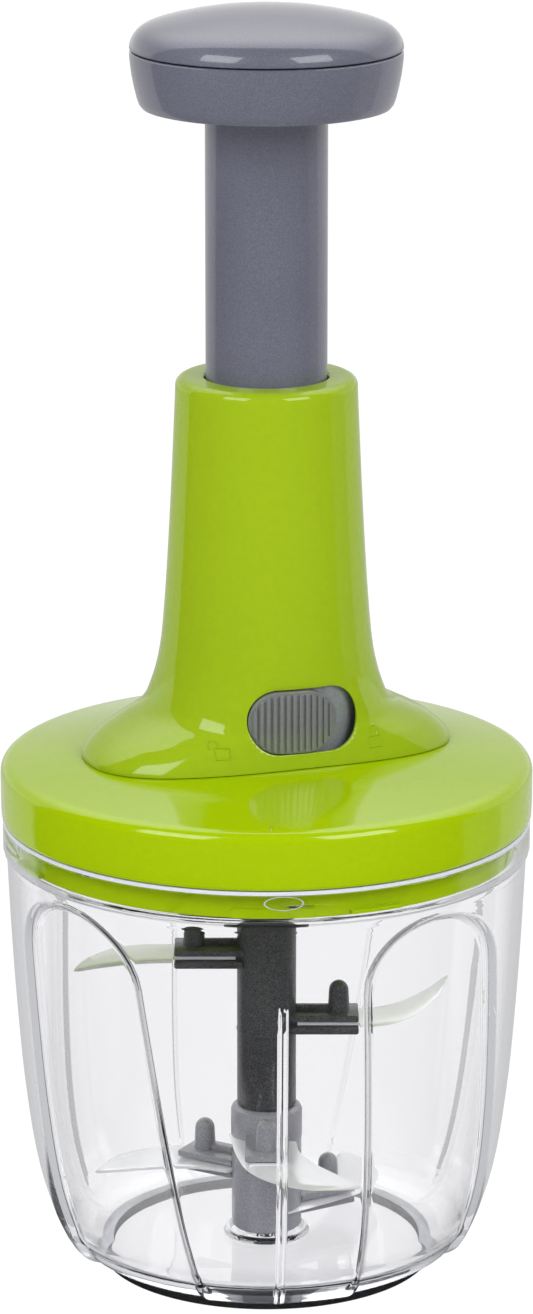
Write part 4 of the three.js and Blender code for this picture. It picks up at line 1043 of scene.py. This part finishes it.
# Each row is a height and how far it is drawn in. They are close in the flare.
flare_step = 0.46
flare_rows = math.ceil((flare_top - housing_foot) / flare_step)
shell_rows = [(housing_foot + flare_step * k, 0) for k in range(flare_rows)]
shell_rows += [(flare_top + k * 3.0, 0) for k in range(29)]
for a in (0, 0.3, 0.6, 0.9, 1.2, 1.4, 1.5708):
    drop = neck_round * (1 - math.sin(a))
    shell_rows.append((housing_top - drop, neck_round * (1 - math.cos(a))))
around = 144
alone()
bpy.ops.mesh.primitive_grid_add(
    x_subdivisions=around, y_subdivisions=len(shell_rows) - 1, size=1, location=(0, 0, 0)
)
shell = bpy.context.object
shell.name = "green_housing"
for corner in shell.data.vertices:
    i = round((corner.co.x + 0.5) * around) % around
    height, inset = shell_rows[round((corner.co.y + 0.5) * (len(shell_rows) - 1))]
    turn = 2 * math.pi * i / around
    # The foot's edge is lowered until it lands on the lid's crown, just clear of it.
    landing = housing_foot
    for _ in range(12):
        landing = crown(math.hypot(*housing_point(turn, landing, 0))) + 0.3
    height += (landing - housing_foot) * max(flare_top - height, 0) / (flare_top - housing_foot)
    x, y = housing_point(turn, height, inset)
    corner.co = (x * mm, y * mm, height * mm)
bpy.ops.object.mode_set(mode="EDIT")
bpy.ops.mesh.select_all(action="SELECT")
bpy.ops.mesh.remove_doubles(threshold=0.000004)
bpy.ops.mesh.select_all(action="DESELECT")
bpy.ops.object.mode_set(mode="OBJECT")
neck_edge = (housing_top - 0.01) * mm
for edge in shell.data.edges:
    edge.select = all(shell.data.vertices[k].co.z > neck_edge for k in edge.vertices)
bpy.ops.object.mode_set(mode="EDIT")
neck_ring = (0, 0, housing_top * mm)
bpy.ops.mesh.extrude_edges_move(TRANSFORM_OT_translate={"value": (0, 0, 0)})
grow = neck_hole / (neck_radius - neck_round)
bpy.ops.transform.resize(value=(grow, grow, 1), center_override=neck_ring)
bpy.ops.mesh.extrude_edges_move(TRANSFORM_OT_translate={"value": (0, 0, -0.5 * mm)})
grow = (neck_hole - 0.5) / neck_hole
bpy.ops.transform.resize(value=(grow, grow, 1), center_override=neck_ring)
bpy.ops.mesh.extrude_edges_move(TRANSFORM_OT_translate={"value": (0, 0, -2.4 * mm)})
bpy.ops.mesh.select_all(action="SELECT")
bpy.ops.mesh.normals_make_consistent(inside=False)
bpy.ops.object.mode_set(mode="OBJECT")
thick = shell.modifiers.new("wall", "SOLIDIFY")
thick.thickness = shell_wall * mm
thick.offset = -1
bpy.ops.object.modifier_apply(modifier="wall")

lock_middle = 177.75


def rounded_bar(name, half, radius, front, back):
    """A round-ended bar lying along Y, for the slot and what fills it."""
    alone()
    bpy.ops.mesh.primitive_circle_add(
        vertices=64, radius=radius * mm, fill_type="NGON",
        location=(0, front * mm, lock_middle * mm), rotation=(math.pi / 2, 0, 0),
    )
    bar = bpy.context.object
    bar.name = name
    bpy.ops.object.transform_apply(location=True, rotation=True, scale=True)
    for corner in bar.data.vertices:
        if abs(corner.co.x) > 1e-6:
            corner.co.x += math.copysign((half - radius) * mm, corner.co.x)
    bpy.ops.object.mode_set(mode="EDIT")
    bpy.ops.mesh.select_all(action="SELECT")
    bpy.ops.mesh.extrude_region_move(TRANSFORM_OT_translate={"value": (0, (back - front) * mm, 0)})
    close_up()
    return bar


cutter = rounded_bar("slot_cutter", 17.3, 9.65, -45, -12)
cut = shell.modifiers.new("slot", "BOOLEAN")
cut.operation = "DIFFERENCE"
cut.solver = "EXACT"
cut.object = cutter
picked(shell)
bpy.ops.object.modifier_apply(modifier="slot")
bpy.data.objects.remove(cutter)
eased(shell, 0.45, angle=50)
housing_green = plastic(
    "housing_plastic", (0.338, 0.482, 0.012), 0.30, 450, 0.02, 0.005,
    Specular_IOR_Level=0.0, Coat_Weight=0.8, Coat_Roughness=0.07, Coat_IOR=1.5,
)
bpy.context.view_layer.update()
inwards = Vector((0, 1, 0))
# An open padlock left of the slot and a closed one right of it, each a body and a bow.
padlocks = [
    [(-27.2, 168), (-23, 168), (-23, 171), (-27.2, 171), (-27.2, 168)],
    [(-26, 171), (-26, 172.3), (-26.5, 172.9), (-27.9, 172.9), (-28.6, 172.2), (-28.6, 170.7)],
    [(20.4, 167.5), (24.5, 167.5), (24.5, 170.5), (20.4, 170.5), (20.4, 167.5)],
    [(21.2, 170.5), (21.2, 172.6), (21.8, 173.4), (23, 173.4), (23.6, 172.6), (23.6, 170.5)],
]
lines = []
for outline in padlocks:
    places = [(x, 0, z) for x, z in outline]
    lines.append(raised_line("padlock", shell, 0.28, places, inwards))
shell = joined("green_housing", [shell, *lines])
fitted(shell, housing_green, "lid", "housing_plastic", "housing", smooth=38)

# Lock
# A grey button with thirteen upright ribs, clipped to a curved plate that slides
# round inside the shell and shows beside the button in the slot.


def refined(name, node, width, segments=2):
    """A copy of a solid, merged, parted from the frame and with its edges rounded."""
    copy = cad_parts[node].copy()
    copy.data = copy.data.copy()
    copy.name = name
    copy.parent = None
    for key in list(copy.keys()):
        del copy[key]
    bpy.context.scene.collection.objects.link(copy)
    picked(copy)
    bpy.ops.object.mode_set(mode="EDIT")
    bpy.ops.mesh.select_all(action="SELECT")
    bpy.ops.mesh.remove_doubles(threshold=0.00001)
    bpy.ops.mesh.dissolve_limited(angle_limit=math.radians(1.5))
    bpy.ops.object.mode_set(mode="OBJECT")
    eased(copy, width, segments, angle=28)
    return copy


button = refined("lock_button_piece", "lock_button", 0.36, 3)
button_plastic = plastic(
    "button_plastic", (0.21, 0.212, 0.226), 0.22, 900, 0.05, 0.008,
    Coat_Weight=1.0, Coat_Roughness=0.06,
)
fitted(button, button_plastic, "lock", "button_plastic", "lock_button")
carrier = refined("lock_plate", "lock_carrier", 0.15)
face = wrapped("plate_face", 29.2, 1.7, [(-40, 167.2), (44, 167.2), (44, 188.2), (-40, 188.2)])
carrier = joined("lock_plate", [carrier, turned_about(face, -90)])
carrier_plastic = plastic("carrier_plastic", (0.270, 0.285, 0.315), 0.35, 1200, 0.12, 0.015)
fitted(carrier, carrier_plastic, "lock", "carrier_plastic", "lock_carrier")

# Plunger
# A grey tube that slides in the housing's neck. Its collar and two ears keep it
# from turning, and the return spring stands inside it.

tube_radius = 18
tube_hole = 15.4
tube_foot = 245.75
collar_top = tube_foot + 3
flange = 357.3
plunger = turned("plunger_piece", [
    (tube_hole, tube_foot), (21.9, tube_foot), (21.9, collar_top), (tube_radius, collar_top),
    (tube_radius, 300), (tube_radius, flange), (24, flange), (24, 359.8),
    (17.6, 359.8), (17.6, 371.8), (3, 371.8), (3, 369.3), (15, 369.3), (15, flange),
    (tube_hole, flange), (tube_hole, 255), (13.6, 255), (13.6, 253.2), (tube_hole, 253.2),
    (tube_hole, tube_foot),
], around=96)
eased(plunger, 0.25)
ears = []
for side in (0, 180):
    ear = slab(8, (tube_foot, collar_top), 19, 25, 0.3)
    ears.append(turned_about(ear, side))
plunger = joined("plunger_piece", [plunger, *ears])
grey_plastic = plastic(
    "grey_plastic", (0.146, 0.148, 0.196), 0.36, 2400, 0.16, 0.012,
    Specular_IOR_Level=0.3, Coat_Weight=0.75, Coat_Roughness=0.035, Coat_IOR=1.5,
)
fitted(plunger, grey_plastic, "plunger", "grey_plastic", "plunger_tube")

# Return spring
# Twelve turns of steel wire between the seat on the spindle and the plunger's
# ceiling.

alone()
wire = 0.8
coil = 11.3
spring_low = 264.55
spring_high = 369.0
turns = 12
bpy.ops.mesh.primitive_circle_add(
    vertices=10, radius=wire * mm,
    location=(coil * mm, 0, (spring_low + wire) * mm), rotation=(math.pi / 2, 0, 0),
)
spring = bpy.context.object
spring.name = "coil_spring"
bpy.ops.object.transform_apply(location=True, rotation=True, scale=True)
climb = spring.modifiers.new("turns", "SCREW")
climb.angle = 2 * math.pi
climb.iterations = turns
climb.screw_offset = (spring_high - spring_low - 2 * wire) / turns * mm
climb.steps = climb.render_steps = 28
bpy.ops.object.modifier_apply(modifier="turns")
closed_ends()
fitted(spring, turned_steel, "lid", "stainless_steel", "return_spring")
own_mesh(spring)

# Knob
# A palm knob in the same grey, a shallow cup and a domed cap that snaps into it
# with a narrow seam between them.

knob_low = 354.55
# Radius and height above the knob's foot, out and up to the seam, then back inside.
cup_path = [
    (18.3, 0), (34.5, 0), (36.4, 0.5), (37.2, 1.5), (37.8, 3.2), (38.6, 6.5), (39.3, 10),
    (39.7, 13), (39.9, 15.2), (39.9, 16.5), (39.5, 16.9), (37.4, 16.9), (37.4, 9), (35, 3.5),
    (31, 2.5), (18.3, 2.5), (18.3, 0),
]
base = turned("knob_cup", [(r, knob_low + rise) for r, rise in cup_path])
fitted(base, grey_plastic, "plunger", "grey_plastic", "knob_base")
# Radius and height above the cap's edge, down round the snap ring, then over the dome.
cap_low = knob_low + 17.4
cap_path = [
    (34.6, 1.3), (34.6, -7), (37.1, -7), (37.1, 0), (39.6, 0), (39.9, 0.25), (39.9, 0.9),
    (39.7, 1.9), (39.35, 2.85), (38.75, 3.95), (38.0, 4.9), (37.1, 5.75), (36.0, 6.5),
    (34.6, 7.15), (32.8, 7.8), (30.4, 8.5), (26, 9.55), (21, 10.55), (15, 11.45),
    (9, 12.0), (4, 12.25), (0, 12.3),
]
cap = turned("knob_dome", [(r, cap_low + rise) for r, rise in cap_path])
closed_ends()
fitted(cap, grey_plastic, "plunger", "grey_plastic", "knob_cap", smooth=30)
